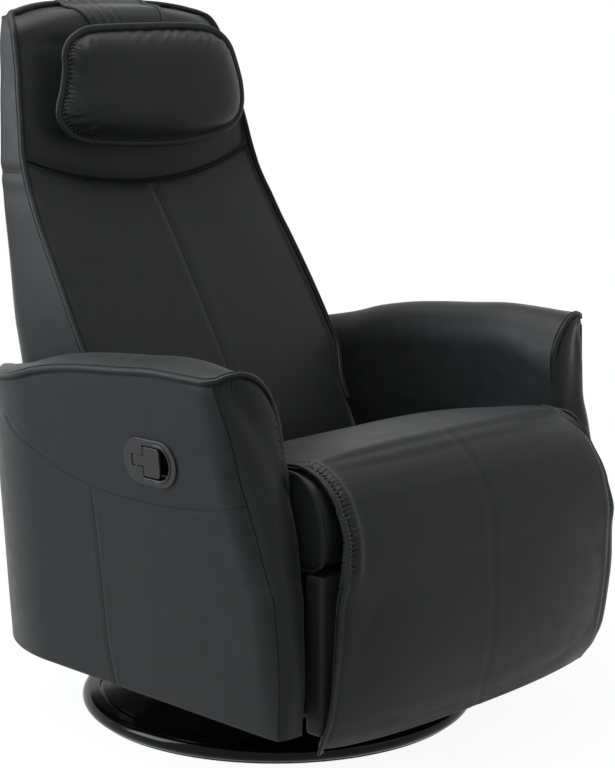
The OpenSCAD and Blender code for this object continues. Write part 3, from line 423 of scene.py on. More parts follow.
def sew(grid, line, groove=1.4, width=5.0, puff=0.8, pucker=0.0, pitch=9.0, reach=22.0, zone=None, seed=1):
    # a sewn line pulls the skin in, and gathers it where the zone says
    gap, at = nearest(grid.reshape(-1, 3), line)
    shift = -groove * np.exp(-(gap / width) ** 2) + puff * np.exp(-((gap - 2.6 * width) / (1.5 * width)) ** 2)
    if pucker:
        share = smoothRow(at / runLength(line)[-1], zone)
        wave = np.sin(2 * math.pi * at / pitch + 1.4 * waver(at, pitch * 4.1, seed))
        long = reach * (0.65 + 0.35 * waver(at, pitch * 2.3, seed + 5))
        shift += pucker * share * wave * np.exp(-gap / np.maximum(long, 4)) * (1 - np.exp(-(gap / 2.5) ** 2))
    return lift(grid, shift.reshape(grid.shape[:2]))


def settle(line, grid):
    # drops a line onto a skin; also gives the skin's normals under it
    flat, normals = grid.reshape(-1, 3), normalsOf(grid).reshape(-1, 3)
    laid, looks = np.empty_like(line), np.empty_like(line)
    for k, p in enumerate(line):
        d = np.linalg.norm(flat - p, axis=1)
        near = np.argpartition(d, 4)[:4]
        w = 1 / (d[near] + 0.2)
        w /= w.sum()
        looks[k] = unit((normals[near] * w[:, None]).sum(0))
        laid[k] = p + looks[k] * np.dot((flat[near] * w[:, None]).sum(0) - p, looks[k])
    return laid, looks


def makeObject(name, points, faces, material):
    data = bpy.data.meshes.new(name)
    data.from_pydata((np.asarray(points) * mm).tolist(), [], faces)
    data.materials.append(material)
    data.shade_smooth()
    piece = bpy.data.objects.new(name, data)
    scene.collection.objects.link(piece)
    return piece


def gridFaces(rows, columns, closed=False, base=0):
    # faces of one grid; closed joins its last column to its first
    at = np.arange(rows * columns).reshape(rows, columns) + base
    after = np.roll(at, -1, axis=1)
    quads = np.stack([at[:-1], after[:-1], after[1:], at[1:]], axis=2)
    return [tuple(quad) for quad in (quads if closed else quads[:, :-1]).reshape(-1, 4).tolist()]


def closeUp(grid, lower, steps):
    # two skins and the strips that join their edges
    t = np.linspace(0, 1, steps)
    sides = [mix(grid[:, k][:, None], lower[:, k][:, None], t[None, :, None]) for k in (0, -1)]
    ends = [mix(grid[k][None], lower[k][None], t[:, None, None]) for k in (0, -1)]
    return [grid, lower] + sides + ends


def stitchGrids(name, grids, material, join=0.6, closed=False, drop=None, fill=False):
    # several skins sewn into one mesh where their edges meet
    points, faces, base = np.vstack([grid.reshape(-1, 3) for grid in grids]), [], 0
    for grid in grids:
        faces += gridFaces(*grid.shape[:2], closed, base)
        base += grid.shape[0] * grid.shape[1]
    if drop is not None:
        faces = [f for f in faces if not drop(points[list(f)].mean(0))]
    piece = makeObject(name, points, faces, material)
    work = bmesh.new()
    work.from_mesh(piece.data)
    bmesh.ops.remove_doubles(work, verts=work.verts, dist=join * mm)
    bmesh.ops.delete(work, geom=[v for v in work.verts if not v.link_faces], context="VERTS")
    if fill:
        bmesh.ops.holes_fill(work, edges=work.edges, sides=0)
    bmesh.ops.recalc_face_normals(work, faces=work.faces)
    work.to_mesh(piece.data)
    work.free()
    piece.data.shade_smooth()
    return piece


def tubePoints(line, wide, high, looks=None, sides=12, closed=False, ends=True):
    # a round or flattened cord along a line; looks are the skin's normals under it
    line = np.asarray(line, float)
    count = len(line)
    if closed:
        along = unit(np.roll(line, -1, axis=0) - np.roll(line, 1, axis=0))
    else:
        along = unit(np.gradient(line, axis=0))
    if looks is None:
        up = np.zeros_like(line)
        up[0] = np.cross(along[0], [0.3, 0.2, 0.93])
        for k in range(1, count):
            up[k] = unit(up[k - 1] - along[k] * np.dot(up[k - 1], along[k]))
        up[0] = unit(up[0])
    else:
        up = unit(looks - along * (looks * along).sum(1, keepdims=True))
    side = np.cross(along, up)
    wide = np.broadcast_to(np.asarray(wide, float), (count,))
    high = np.broadcast_to(np.asarray(high, float), (count,))
    turn = np.linspace(0, 2 * math.pi, sides, endpoint=False)
    rings = (line[:, None] + side[:, None] * (np.cos(turn)[None, :, None] * wide[:, None, None])
             + up[:, None] * (np.sin(turn)[None, :, None] * high[:, None, None]))
    if ends and not closed:
        # rounded ends
        caps = [[line[k] + (rings[k] - line[k]) * share + along[k] * way * out * high[k]
                 for share, out in ((0.75, 0.5), (0.35, 0.85))] for k, way in ((0, -1), (count - 1, 1))]
        rings = np.concatenate([caps[0][::-1], rings, caps[1]])
    return rings


def tubeMesh(name, tubes, material, closed=False):
    points, faces, base = np.vstack([rings.reshape(-1, 3) for rings in tubes]), [], 0
    for rings in tubes:
        rows, sides = rings.shape[:2]
        last = base + (rows - 1) * sides
        faces += gridFaces(rows, sides, True, base)
        if closed:
            for i in range(sides):
                after = (i + 1) % sides
                faces.append((last + i, last + after, base + after, base + i))
        else:
            faces += [tuple(range(base + sides - 1, base - 1, -1)), tuple(range(last, last + sides))]
        base = last + sides
    return makeObject(name, points, faces, material)


def cords(name, runs, material, closed=False):
    # each run is (line, half width, half height, skin normals)
    return tubeMesh(name, [tubePoints(*run, closed=closed) for run in runs], material, closed)


def stitches(name, rows, material):
    # each row is (line, skin normals, pitch, length, thickness, lift)
    tubes = []
    for line, looks, pitch, long, thick, rise in rows:
        run = runLength(line)
        arch = rise * np.array([-0.6, 0.5, 0.9, 0.5, -0.6])
        for s in np.arange(pitch / 2, run[-1] - long / 2, pitch):
            at = np.linspace(s - long / 2, s + long / 2, 5)
            look = unit(takeAt(at, run, looks))
            tubes.append(tubePoints(takeAt(at, run, line) + look * arch[:, None], thick, thick * 0.8, look,
                                    sides=6, ends=False))
    return tubeMesh(name, tubes, material)


def gathers(line, looks, inwards, pitch, long, thick, seed):
    # small folds of leather that run off a sewn line, as runs for cords
    run = runLength(line)
    dice = np.random.RandomState(seed)
    t = np.linspace(0, 1, 6)[:, None]
    runs = []
    for s in np.arange(pitch / 2, run[-1] - pitch / 2, pitch):
        at = s + dice.uniform(-0.15, 0.15) * pitch
        foot, look, way = [takeAt(at, run, part) for part in (line, looks, inwards)]
        fold = foot + way * (long * dice.uniform(0.6, 1.15) * t) - look * (0.5 * thick * t)
        grow = thick * np.array([0.75, 1, 0.9, 0.7, 0.5, 0.3]) * dice.uniform(0.8, 1.15)
        runs.append((fold, grow, grow * 0.8, np.tile(look, (6, 1))))
    return runs


clothLook = {"quality": 6, "mass": 0.25, "tension_stiffness": 12.0, "compression_stiffness": 12.0,
             "shear_stiffness": 6.0, "bending_stiffness": 0.6, "use_pressure": True,
             "vertex_group_mass": "sewn", "pin_stiffness": 1.0}
clothFrames = 20


def inflate(grid, pinned, pressure, shrink, cap):
    # Cloth swells a coarse skin between its sewn edges; gives how far each point moved, in millimetres
    rows, columns = grid.shape[:2]
    piece = makeObject("swelling", grid.reshape(-1, 3), gridFaces(rows, columns), leather["blackLeather"])
    piece.vertex_groups.new(name="sewn").add(np.flatnonzero(pinned).tolist(), 1.0, "REPLACE")
    cloth = piece.modifiers.new("cloth", "CLOTH")
    for key, value in clothLook.items():
        setattr(cloth.settings, key, value)
    cloth.settings.uniform_pressure_force = pressure
    cloth.settings.shrink_min = shrink
    cloth.settings.effector_weights.gravity = 0
    cloth.collision_settings.use_collision = False
    cloth.point_cache.frame_start, cloth.point_cache.frame_end = 1, clothFrames
    for number in range(1, clothFrames + 1):
        scene.frame_set(number)
    swollen = piece.evaluated_get(bpy.context.evaluated_depsgraph_get())
    found = np.empty(rows * columns * 3, np.float32)
    swollen.data.vertices.foreach_get("co", found)
    moved = found.reshape(rows, columns, 3) / mm - grid
    scene.frame_set(1)
    data = piece.data
    bpy.data.objects.remove(piece)
    bpy.data.meshes.remove(data)
    size = np.linalg.norm(moved, axis=2, keepdims=True)
    return moved * np.minimum(1, cap / np.maximum(size, 1e-6))


def enlarge(coarse, rows, columns, across=None):
    # spreads a coarse field over a finer grid, smoothly; across gives the share of each column's place

    def finer(values, at):
        k = np.clip(np.floor(at).astype(int), 0, len(values) - 2)
        before, after = values[np.clip(k - 1, 0, None)], values[np.clip(k + 2, None, len(values) - 1)]
        return cubic(before, values[k], values[k + 1], after, (at - k)[:, None, None])

    last = coarse.shape[1] - 1
    tall = finer(coarse, np.linspace(0, coarse.shape[0] - 1, rows))
    places = np.linspace(0, last, columns) if across is None else across * last
    return finer(tall.transpose(1, 0, 2), places).transpose(1, 0, 2)


def swellOf(coarse, rows, columns, across=None, keep=0.6, **cloth):
    # what Cloth adds to a skin, less its mean swell: the tables already give the swollen size
    pinned = np.zeros(coarse.shape[:2])
    pinned[0], pinned[-1], pinned[:, 0], pinned[:, -1] = 1, 1, 1, 1
    moved = inflate(coarse, pinned, **cloth)
    n = normalsOf(coarse)
    out = (moved * n).sum(2)
    j, i = np.meshgrid(np.linspace(-1, 1, out.shape[0]), np.linspace(-1, 1, out.shape[1]), indexing="ij")
    dome = (1 - j ** 6) * (1 - i ** 6)
    moved = (moved - n * (dome * np.median(out[np.abs(j) < 0.5]))[..., None]) * keep
    return enlarge(moved, rows, columns, None if across is None else (np.sort(across) + 1) / 2)


def finishPiece(piece, body, replaces=None):
    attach(piece, body)
    if replaces:
        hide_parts(replaces)


def besideOf(path, looks):
    # the way across a line that lies on a skin
    return unit(np.cross(np.gradient(path, axis=0), looks))


def hollow(shares):
    # 0 at both ends, 1 in the middle
    return 4 * shares * (1 - shares)


# ---------- arms

arm = {
    "footX": 380, "taper": 7, "frontY": -395, "cornerY": 120, "cornerR": 250, "rearY": 312.0,
    "footZ": 120, "height": 484, "flare": 32, "footThick": 44, "waistThick": 71, "waist": 0.68, "endX": 276,
    "weltHalf": 4.2, "round": 36, "rows": 121, "columns": 172, "frontRows": 34, "topRows": 44,
    # the left arm's front corner is drawn in, and the inner edge of its front stands further back
    "tuckIn": {-1: 0.0, 1: 12.0}, "upright": 1.9,
    # [y, height of the outer piping]
    "top": [(-395, 603), (-272, 603.5), (-176, 604), (-98, 598), (15, 588), (93, 575), (163, 556), (241, 541),
            (312, 530)],
    # [share of the height, y of the seam between side and front, how far the corner is rounded in,
    #  how much further forward the inner edge is, swell of the front between them]
    "front": [(0, -377, 2, 4, 2), (0.05, -376.5, 4, 4, 5), (0.128, -376, 7, 4, 8), (0.24, -375.6, 10, -1, 10),
              (0.306, -373, 11, -4, 11), (0.417, -369, 12, -5, 12), (0.446, -362, 12.5, -4, 12),
              (0.5, -352, 13, 1, 12), (0.58, -339, 15, 6, 12), (0.676, -324, 14, 10, 12),
              (0.734, -315, 13, 9, 11), (0.79, -310, 12, 9, 10), (0.855, -303, 10, 10, 8),
              (0.921, -293, 7, 15, 5), (0.97, -286, 5, 19, 2), (1, -281, 4, 22, 0)],
    # [height, y] of the front's inner edge
    "inner": [(119, -381), (168, -379), (223, -374), (277, -367), (331, -359), (371, -351), (411, -342),
              (444, -334), (470, -325), (500, -317), (535, -311)],
    "yoke": [(186, 493), (160, 473), (97, 447), (41, 429), (-28, 417), (-98, 414), (-175, 416), (-252, 424),
             (-334, 441)],
    "drop": [(-15, 414), (-21, 309), (-23, 265), (-28, 180), (-38, 122)],
    # the latch's opening in the right arm: half its straight run and its radius, round y and z
    "opening": (19.5, 29, -153, 475),
}


def armOuter(y):
    straight = arm["footX"] - arm["taper"] * (y - arm["frontY"]) / (arm["cornerY"] - arm["frontY"])
    turned = (arm["footX"] - arm["taper"] - arm["cornerR"]
              + np.sqrt(np.maximum(arm["cornerR"] ** 2 - np.maximum(y - arm["cornerY"], 0) ** 2, 0)))
    return np.where(y < arm["cornerY"], straight, turned)


def armFront(b, column):
    return smoothRow(b, arm["front"], column)


def armSkin(y, z):
    b = np.clip((z - arm["footZ"]) / arm["height"], 0, 1)
    flare = arm["flare"] * np.maximum((z - arm["footZ"]) / arm["height"], 0) ** 1.2
    near = np.clip(1 - (y - armFront(b, 1)) / arm["round"], 0, 1)
    return armOuter(y) + flare - armFront(b, 2) * near ** 2.2


def armInner(y, z):
    share = np.clip((z - arm["footZ"]) / arm["height"] / arm["waist"], 0, 1)
    wall = arm["footX"] - mix(arm["footThick"], arm["waistThick"], share)
    return np.maximum(arm["endX"], np.minimum(wall, armOuter(y) - arm["footThick"]))


def armTop(y):
    return smoothRow(y, arm["top"])


def armRoll(y, u):
    # across the top: share of the width, and height over the outer piping
    share = ease((y + 300) / 110)
    crown, peak, drop = mix(9, 14, share), mix(0.36, 0.52, share), mix(92, 68, share)
    up = np.clip(u / 0.4, 0, 1)
    down = np.clip((u - 0.4) / 0.6, 0, 1) * math.pi / 2
    return peak * up + (1 - peak) * np.sin(down), crown * (1 - (1 - up) ** 2) - drop * (1 - np.cos(down))


def armGrids(tuckIn):
    # skins of the arm on the +X side: every one looks outwards; tuckIn draws its front corner in
    foot, rear, cornerY = arm["footZ"], arm["rearY"], -300.0
    b = np.linspace(0, 1, arm["rows"])[:, None]
    a = np.linspace(0, 1, arm["columns"])[None, :]
    drawn = tuckIn * ease((1 - b) / 0.26)
    seam, turn, bulge = armFront(b, 1) + drawn, armFront(b, 3), armFront(b, 4)
    y = seam + (rear - seam) * a
    z = foot + b * (armTop(y) - foot)
    outside = np.dstack([armSkin(y, z) - drawn * ease((-150 - y) / 200), y, z])

    u = np.linspace(1, 0, arm["frontRows"])[None, :]
    wide, rise = armRoll(cornerY, u)
    z = foot + b * (armTop(arm["front"][-1][1]) + rise - foot)
    edgeZ = z[:, :1]
    upright = arm["upright"] * tuckIn * ease((592 - edgeZ) / 110) * (1 - 0.6 * ease((440 - edgeZ) / 150))
    ahead = seam - turn - smoothRow(edgeZ, arm["inner"]) - upright
    y = seam - turn * (1 - (1 - u) ** 3) - ahead * u ** 5 - bulge * hollow(u) ** 0.75
    front = np.dstack([mix(outside[:, :1, 0], armInner(seam, z), wide), y, z])

    across = np.linspace(0, 1, arm["topRows"])[:, None]
    y = seam[-1, 0] - turn[-1, 0] * (1 - (1 - across) ** 3) - ahead[-1, 0] * across ** 5
    y = y + (rear - y) * a
    wide, rise = armRoll(y, across)
    z = armTop(y) + rise
    top = np.dstack([mix(armSkin(y, armTop(y)), armInner(y, z), wide), y, z])

    y = mix(seam - turn - ahead, rear, a[:, ::-1])
    z = foot + b * (armTop(y) + armRoll(y, 1.0)[1] - foot)
    inside = np.dstack([armInner(y, z), y, z])

    u = np.linspace(0, 1, arm["frontRows"])[None, :]
    wide, rise = armRoll(rear, u)
    z = foot + b * (armTop(rear) + rise - foot)
    outer = armSkin(rear, foot + b * (armTop(rear) - foot))
    tail = np.dstack([mix(outer, armInner(rear, z), wide), rear + 0 * z, z])

    wide = armRoll(cornerY, u)[0][0][:, None, None]
    sole = mix(outside[0][None], inside[0][None, ::-1], wide)
    sole[..., 1] -= (bulge[0, 0] * hollow(u[0]) ** 0.75)[:, None] * (1 - a) ** 6
    return outside, front, top, inside, tail, sole[:, ::-1]


def inOpening(p):
    run, radius, middleY, middleZ = arm["opening"]
    return p[0] < -380 and math.hypot(max(abs(p[1] - middleY) - run, 0), p[2] - middleZ) < radius


def makeArm(side, name, node):
    outside, front, top, inside, tail, sole = armGrids(arm["tuckIn"][side])
    flip = np.array([side, 1, 1.0])
    outside = stuff(outside, ["u0", "v1", ("v0", 50), ("u1", 50)], 2.2, 14)
    front = stuff(front, ["v1", "u1", ("u0", 30), ("v0", 40)], 2.6, 10)
    top = stuff(top, ["v0", "u0", ("v1", 50), ("u1", 50)], 2.2, 12)
    armShadeCords = []
    # a groove along each sewn line, with a near-black cord in it that is painted shade
    for line in (arm["yoke"], arm["drop"]):
        path = smoothLine([(float(armSkin(y, z)), y, z) for y, z in line])
        outside = sew(outside, path, groove=0.9, width=3.2, puff=0.35)
        laid, looks = settle(path, outside)
        armShadeCords.append((laid - looks * 0.35, 0.65, 0.65, looks * flip))
    # gathers where the front hangs from its piping, and a few on the side below it
    rim = smoothLine(np.vstack([outside[-1, 12::-4], front[-1, -2::-3]]), step=2)
    front = sew(front, rim, groove=0.3, width=5, pucker=1.5, pitch=8.0, reach=17,
                zone=[(0, 1), (0.52, 1), (0.66, 0.2), (1, 0)], seed=3)
    outside = sew(outside, rim, groove=0.1, width=5, pucker=1.0, pitch=8.5, reach=11,
                  zone=[(0, 0.1), (0.2, 1), (0.5, 0.7), (1, 0)], seed=4)
    # one broad soft dent that runs down the front from its outer corner
    x, z = front[..., 0], front[..., 2]
    away = (x - 388 + (604 - z) * 0.42) / 19
    dent = (3.5 * ease((600 - z) / 30) * ease((z - 330) / 140)
            + 7.5 * ease((z - 505) / 70) * ease((612 - z) / 18))
    front = lift(front, -np.exp(-away ** 2) * dent)
    # a near-black line down the rounded front corner: painted shade
    corner = smoothLine(outside[1:-3:4, 0], step=2.5) + np.array([0.25, -0.25, 0])
    armShadeCords.append((corner, 0.75, 0.75, None))
    skins = [skin * flip for skin in (outside, front, top, inside, tail, sole)]
    body = stitchGrids(name, skins, leather["blackLeather"], join=0.8, drop=inOpening if side < 0 else None)
    finishPiece(body, "seat", replaces=node)

    # piping along the top's outside, round the front and down its inner edge to a pointed end
    down = front[::-1, 1]
    down = down[down[:, 2] > 447] + np.array([5.0, -2.5, 0])
    path = smoothLine(np.vstack([outside[-1, ::-4], front[-1, -3:2:-3], down[2::5]]), step=2.2)
    low = ease((596 - path[:, 2]) / 50) * (path[:, 1] < -270)
    centre = np.column_stack([mix(np.clip(path[:, 0], 352, 372), path[:, 0] + 7, low), path[:, 1] + 24,
                              np.minimum(path[:, 2] - 16 * (1 - low), mix(585, 700, low))])
    looks = unit(path - centre)
    tip = 1 - 0.75 * ease((472 - path[:, 2]) / 24) * low
    path = path + looks * 1.2
    wide, high = (arm["weltHalf"] * mix(1.0, least, low) * tip for least in (1.3, 0.9))
    piping = cords(name + "Piping", [(path * flip, wide, high, looks * flip)], leather["blackLeather"])
    finishPiece(piping, "seat")
    # dark lines of painted shade on both sides of the piping
    beside = besideOf(path, looks)
    grow = 1.0 + 0.5 * low
    armShadeCords.append((path - beside * (5.0 + 1.6 * low[:, None]) + looks * 0.9, grow, grow, None))
    armShadeCords.append((path[:-30] + beside[:-30] * 5.2 + looks[:-30] * 0.9, 0.8, 0.8, None))
    armShadeCords = [(line * flip, *rest) for line, *rest in armShadeCords]
    finishPiece(cords(name + "Seams", armShadeCords, leather["seamPaintedShade"]), "seat")
    # gathers beside the piping down the front's inner edge, and a few below it at the outer corner
    rail = front[::-1, 8]
    laid, nn = settle(smoothLine(rail[(rail[:, 2] > 456) & (rail[:, 2] < 575)][::4]), front)
    inwards = np.tile([side * 1.0, 0, 0], (len(laid), 1))
    folds = gathers((laid + nn * 0.6) * flip, nn * flip, inwards, 9.0, 4.5, 2.0, 5)
    hang, nn = settle(smoothLine(front[-1, -3:-17:-2] - np.array([0, 0, 7.0])), front)
    way = np.array([0, 0, -1.0]) + nn * nn[:, 2:]
    folds += gathers((hang - nn * 0.2) * flip, nn * flip, way * flip, 6.5, 13, 1.7, 6)
    finishPiece(cords(name + "Gathers", folds, leather["blackLeather"]), "seat")


makeArm(-1, "armRight", "right_arm")
makeArm(1, "armLeft", "left_arm")
print("arms are covered")

# ---------- latch in the right arm

latch = {
    "x": -404.6, "z": 475, "lean": 4.0, "deep": 13, "middle": 153, "halfLong": 53, "halfHigh": 32,
    # outlines as (towards the front, up) in millimetres from the origin and the middle of the plate
    "stem": (115, 9.3), "head": (139.5, 171.5, 20.5), "well": (138, 194, 24.5),
    # gap round the paddle's stem, and radii of the corners
    "gap": 2.7, "smallR": 2.0, "wellR": 3, "headR": 5,
}


def arcPoints(centre, radius, start, end, count=5):
    turn = np.radians(np.linspace(start, end, count))
    return [(centre[0] + radius * math.cos(t), centre[1] + radius * math.sin(t)) for t in turn]


def flatShape(name, outlines, deep, bevel, material):
    # a bevelled plate from flat outlines; the second and later ones are holes
    curve = bpy.data.curves.new(name, "CURVE")
    curve.dimensions = "2D"
    curve.fill_mode = "BOTH"
    curve.extrude = (deep / 2 - bevel) * mm
    curve.bevel_depth = bevel * mm
    curve.bevel_resolution = 3
    for outline in outlines:
        spline = curve.splines.new("POLY")
        spline.points.add(len(outline) - 1)
        for point, (p, q) in zip(spline.points, outline):
            point.co = (p * mm, q * mm, 0, 1)
        spline.use_cyclic_u = True
    shape = bpy.data.objects.new(name + "Shape", curve)
    scene.collection.objects.link(shape)
    data = bpy.data.meshes.new_from_object(shape.evaluated_get(bpy.context.evaluated_depsgraph_get()))
    bpy.data.objects.remove(shape)
    piece = bpy.data.objects.new(name, data)
    scene.collection.objects.link(piece)
    data.materials.clear()
    data.materials.append(material)
    return piece


def layOnArm(piece, out):
    # turns a flat piece to the arm's side: its X to the front, its Y up, its Z outwards
    lean = math.radians(latch["lean"])
    points = np.empty(len(piece.data.vertices) * 3)
    piece.data.vertices.foreach_get("co", points)
    x, y, z = points.reshape(-1, 3).T / mm
    placed = np.column_stack([latch["x"] - (z + out) * math.cos(lean) - y * math.sin(lean), -x,
                              latch["z"] + y * math.cos(lean) - (z + out) * math.sin(lean)]) * mm
    piece.data.vertices.foreach_set("co", placed.ravel())
    piece.data.update()
    return piece


def makeLatch():
    half, deep, middle, end = latch["halfHigh"], latch["deep"], latch["middle"], latch["halfLong"]
    satin, gloss = metals["satinPlastic"], metals["glossyPlastic"]
    oval = (arcPoints((middle + end - half, 0), half, -90, 90, 24)
            + arcPoints((middle - end + half, 0), half, 90, 270, 24))
    s0, sh = latch["stem"]
    h0, h1, hh = latch["head"]
    w0, w1, wh = latch["well"]
    c = latch["wellR"]
    hole = ([(s0, -sh), (w0, -sh), (w0, -wh + c)] + arcPoints((w0 + c, -wh + c), c, 180, 270)
            + arcPoints((w1 - wh, 0), wh, -90, 90, 24) + arcPoints((w0 + c, wh - c), c, 90, 180)
            + [(w0, wh - c), (w0, sh), (s0, sh)])
    plate = layOnArm(flatShape("latchPlate", [oval, hole], deep, 1.1, satin), -deep / 2)
    finishPiece(plate, "seat", replaces="latch_bezel")
    # raised lip round the well
    lip = [(w0 + 6, -wh - 1.5)] + arcPoints((w1 - wh, 0), wh + 2.2, -90, 90, 30) + [(w0 + 6, wh + 1.5)]
    ring = np.array([(p, q, 0.2) for p, q in lip])
    rings = cords("latchLip", [(ring, 1.5, 1.0, np.tile([0, 0, 1.0], (len(ring), 1)))], gloss)
    finishPiece(layOnArm(rings, 0), "seat")
    floor = flatShape("latchWell", [[(p, q * 0.96) for p, q in oval]], 1.6, 0.3, gloss)
    finishPiece(layOnArm(floor, -deep - 0.4), "seat")
    k, r, e = latch["gap"], latch["smallR"], latch["headR"]
    tee = (arcPoints((s0 + k + r, -sh + k + r), r, 180, 270) + [(h0 - 0.2, -sh + k)]
           + arcPoints((h0 + r, -hh + r), r, 180, 270) + arcPoints((h1 - e, -hh + e), e, 270, 360, 8)
           + arcPoints((h1 - e, hh - e), e, 0, 90, 8) + arcPoints((h0 + r, hh - r), r, 90, 180)
           + [(h0 - 0.2, sh - k)] + arcPoints((s0 + k + r, sh - k - r), r, 90, 180))
    pull = layOnArm(flatShape("latchPull", [tee], 4.6, 0.9, satin), -3.4)
    finishPiece(pull, "latch", replaces="latch_paddle")


makeLatch()
print("latch is set in")

# ---------- back

back = {
    # [height, y of the piping, half width]
    "welt": [(285, 82, 262), (345, 52, 262), (383, 44, 262), (420, 60, 262), (445, 73, 262), (474, 90, 264),
             (500, 105, 266), (528, 121, 267), (562, 141, 266), (609, 169, 265), (660, 200, 262.5),
             (711, 232, 259), (738, 250, 257), (779, 274, 254), (814, 294, 250), (841, 305, 248),
             (865, 313, 246), (910, 323, 240), (952, 335, 233), (992, 345, 226), (1025, 354, 222),
             (1054, 363, 218), (1072, 376, 213), (1083, 390, 208.5), (1092, 401, 207), (1099, 411, 206)],
    # [height, y of the rear face in the middle]
    "rear": [(285, 338), (330, 350), (450, 369), (578, 395), (608, 402), (777, 421), (839, 427), (990, 438),
             (1035, 437), (1058, 433), (1075, 427), (1088, 420), (1099, 413)],
    # the seam down the back cushion, on the middle line
    "middle": [(0, 283, 803), (0, 247, 745), (0, 210, 689), (0, 168, 618), (0, 125, 543), (0, 90, 480)],
    "sag": 46, "seamZ": 815, "bottomZ": 372, "sideSeamZ": 837, "footTuck": 22, "corner": 0.42, "bulge": 3.0,
    # the sides of the crest lie lower than its middle
    "topZ": 1099, "crest": 20, "crestPower": 3.5, "crestRise": 99,
    "shellZ": np.concatenate([np.linspace(290, 1040, 150), np.linspace(1044, 1099, 24)]),
    "pipingZ": (432, 1072), "cushionDeep": 26,
}


def weltY(z):
    return smoothRow(z, back["welt"], 1)


def backHalf(z):
    return smoothRow(z, back["welt"], 2)


def footTuck(z):
    return back["footTuck"] * ease((545 - z) / 80)


def crestDrop(share):
    return back["crest"] * share ** back["crestPower"]


def crossSeam(u):
    return back["seamZ"] + back["sag"] * u ** 2.1


panels = {
    # heights of both ends at each place across, how far the middle stands out and how it falls to the
    # sides, how it fades to the ends
    "backCushion": {"node": "back_cushion", "bottom": lambda u: back["bottomZ"] + 14 * u ** 6, "top": crossSeam,
                    "crown": 9.0, "power": 2.6, "rows": 150, "columns": 130,
                    "fade": lambda t: ease(t / 0.12) * (0.35 + 0.65 * ease((1 - t) / 0.16))},
    "headCushion": {"node": "head_cushion", "bottom": crossSeam, "top": lambda u: back["topZ"] - crestDrop(u),
                    "crown": 21.0, "power": 3.0, "rows": 110, "columns": 130,
                    "fade": lambda t: (0.16 + 0.84 * ease(t / 0.25)) * (0.04 + 0.96 * ease((1 - t) / 0.18))},
}


def backShell():
    turn = np.linspace(0, math.pi, 96)
    u = np.sign(np.cos(turn)) * np.abs(np.cos(turn)) ** back["corner"]
    v = np.sin(turn) ** back["corner"]
    sideRun = np.linspace(0, 1, 16, endpoint=False)[:, None]
    rings = []
    for z in back["shellZ"]:
        toCrest = ease((z - back["topZ"] + back["crestRise"]) / back["crestRise"])
        sideZ = z - back["crest"] * toCrest
        half, front, rear = backHalf(sideZ), weltY(sideZ) + 2.5, smoothRow(z, back["rear"])
        middle = mix(front, rear, 0.42)
        bend = np.maximum(rear - max(rear - 110, 1) * 0.2 * np.abs(u) ** 3.5, middle + 1)
        rearPart = np.column_stack([(half + back["bulge"]) * u, middle + (bend - middle) * v])
        first = mix(np.array([[half - footTuck(z), front]]), np.array([[half, middle]]), sideRun)
        first[:, 0] += back["bulge"] * np.sin(sideRun[:, 0] * math.pi / 2)
        ring = np.vstack([first, rearPart, first[::-1] * np.array([-1, 1])])
        drop = crestDrop(np.minimum(np.abs(ring[:, 0]) / half, 1)) * toCrest
        rings.append(np.column_stack([ring, z - drop]))
    grid = np.array(rings)
    return faceTo(grid, (grid - np.array([0, 250, 0])) * np.array([1, 1, 0]))


def profile(z0, z1, count):
    # the piping's side view between two heights, evenly spaced: y, z and half width
    zs = np.linspace(z0 - 0.01, z1 + 0.01, 400)
    line = np.column_stack([weltY(zs), zs, backHalf(zs) - footTuck(zs)])
    run = runLength(line[:, :2])
    return takeAt(np.linspace(0, run[-1], count), run, line)


def backPanel(look, rows, columns):
    # a cushion's face between the pipings
    full = profile(back["welt"][0][0], back["welt"][-1][0], 1200)
    run = runLength(full[:, :2])
    fade = look["crown"] * look["fade"](np.linspace(0, 1, rows))
    grid = np.empty((rows, columns, 3))
    for i, place in enumerate(np.linspace(-1, 1, columns)):
        ends = np.interp([look["bottom"](abs(place)), look["top"](abs(place))], full[:, 1], run)
        y, z, half = takeAt(np.linspace(*ends, rows), run, full).T
        dy, dz = np.gradient(y), np.gradient(z)
        swell = (1 - abs(place) ** look["power"]) * fade / np.hypot(dy, dz)
        grid[:, i] = np.column_stack([half * place, y - dz * swell, z + dy * swell])
    return faceTo(grid, (0, -1, 0.3))


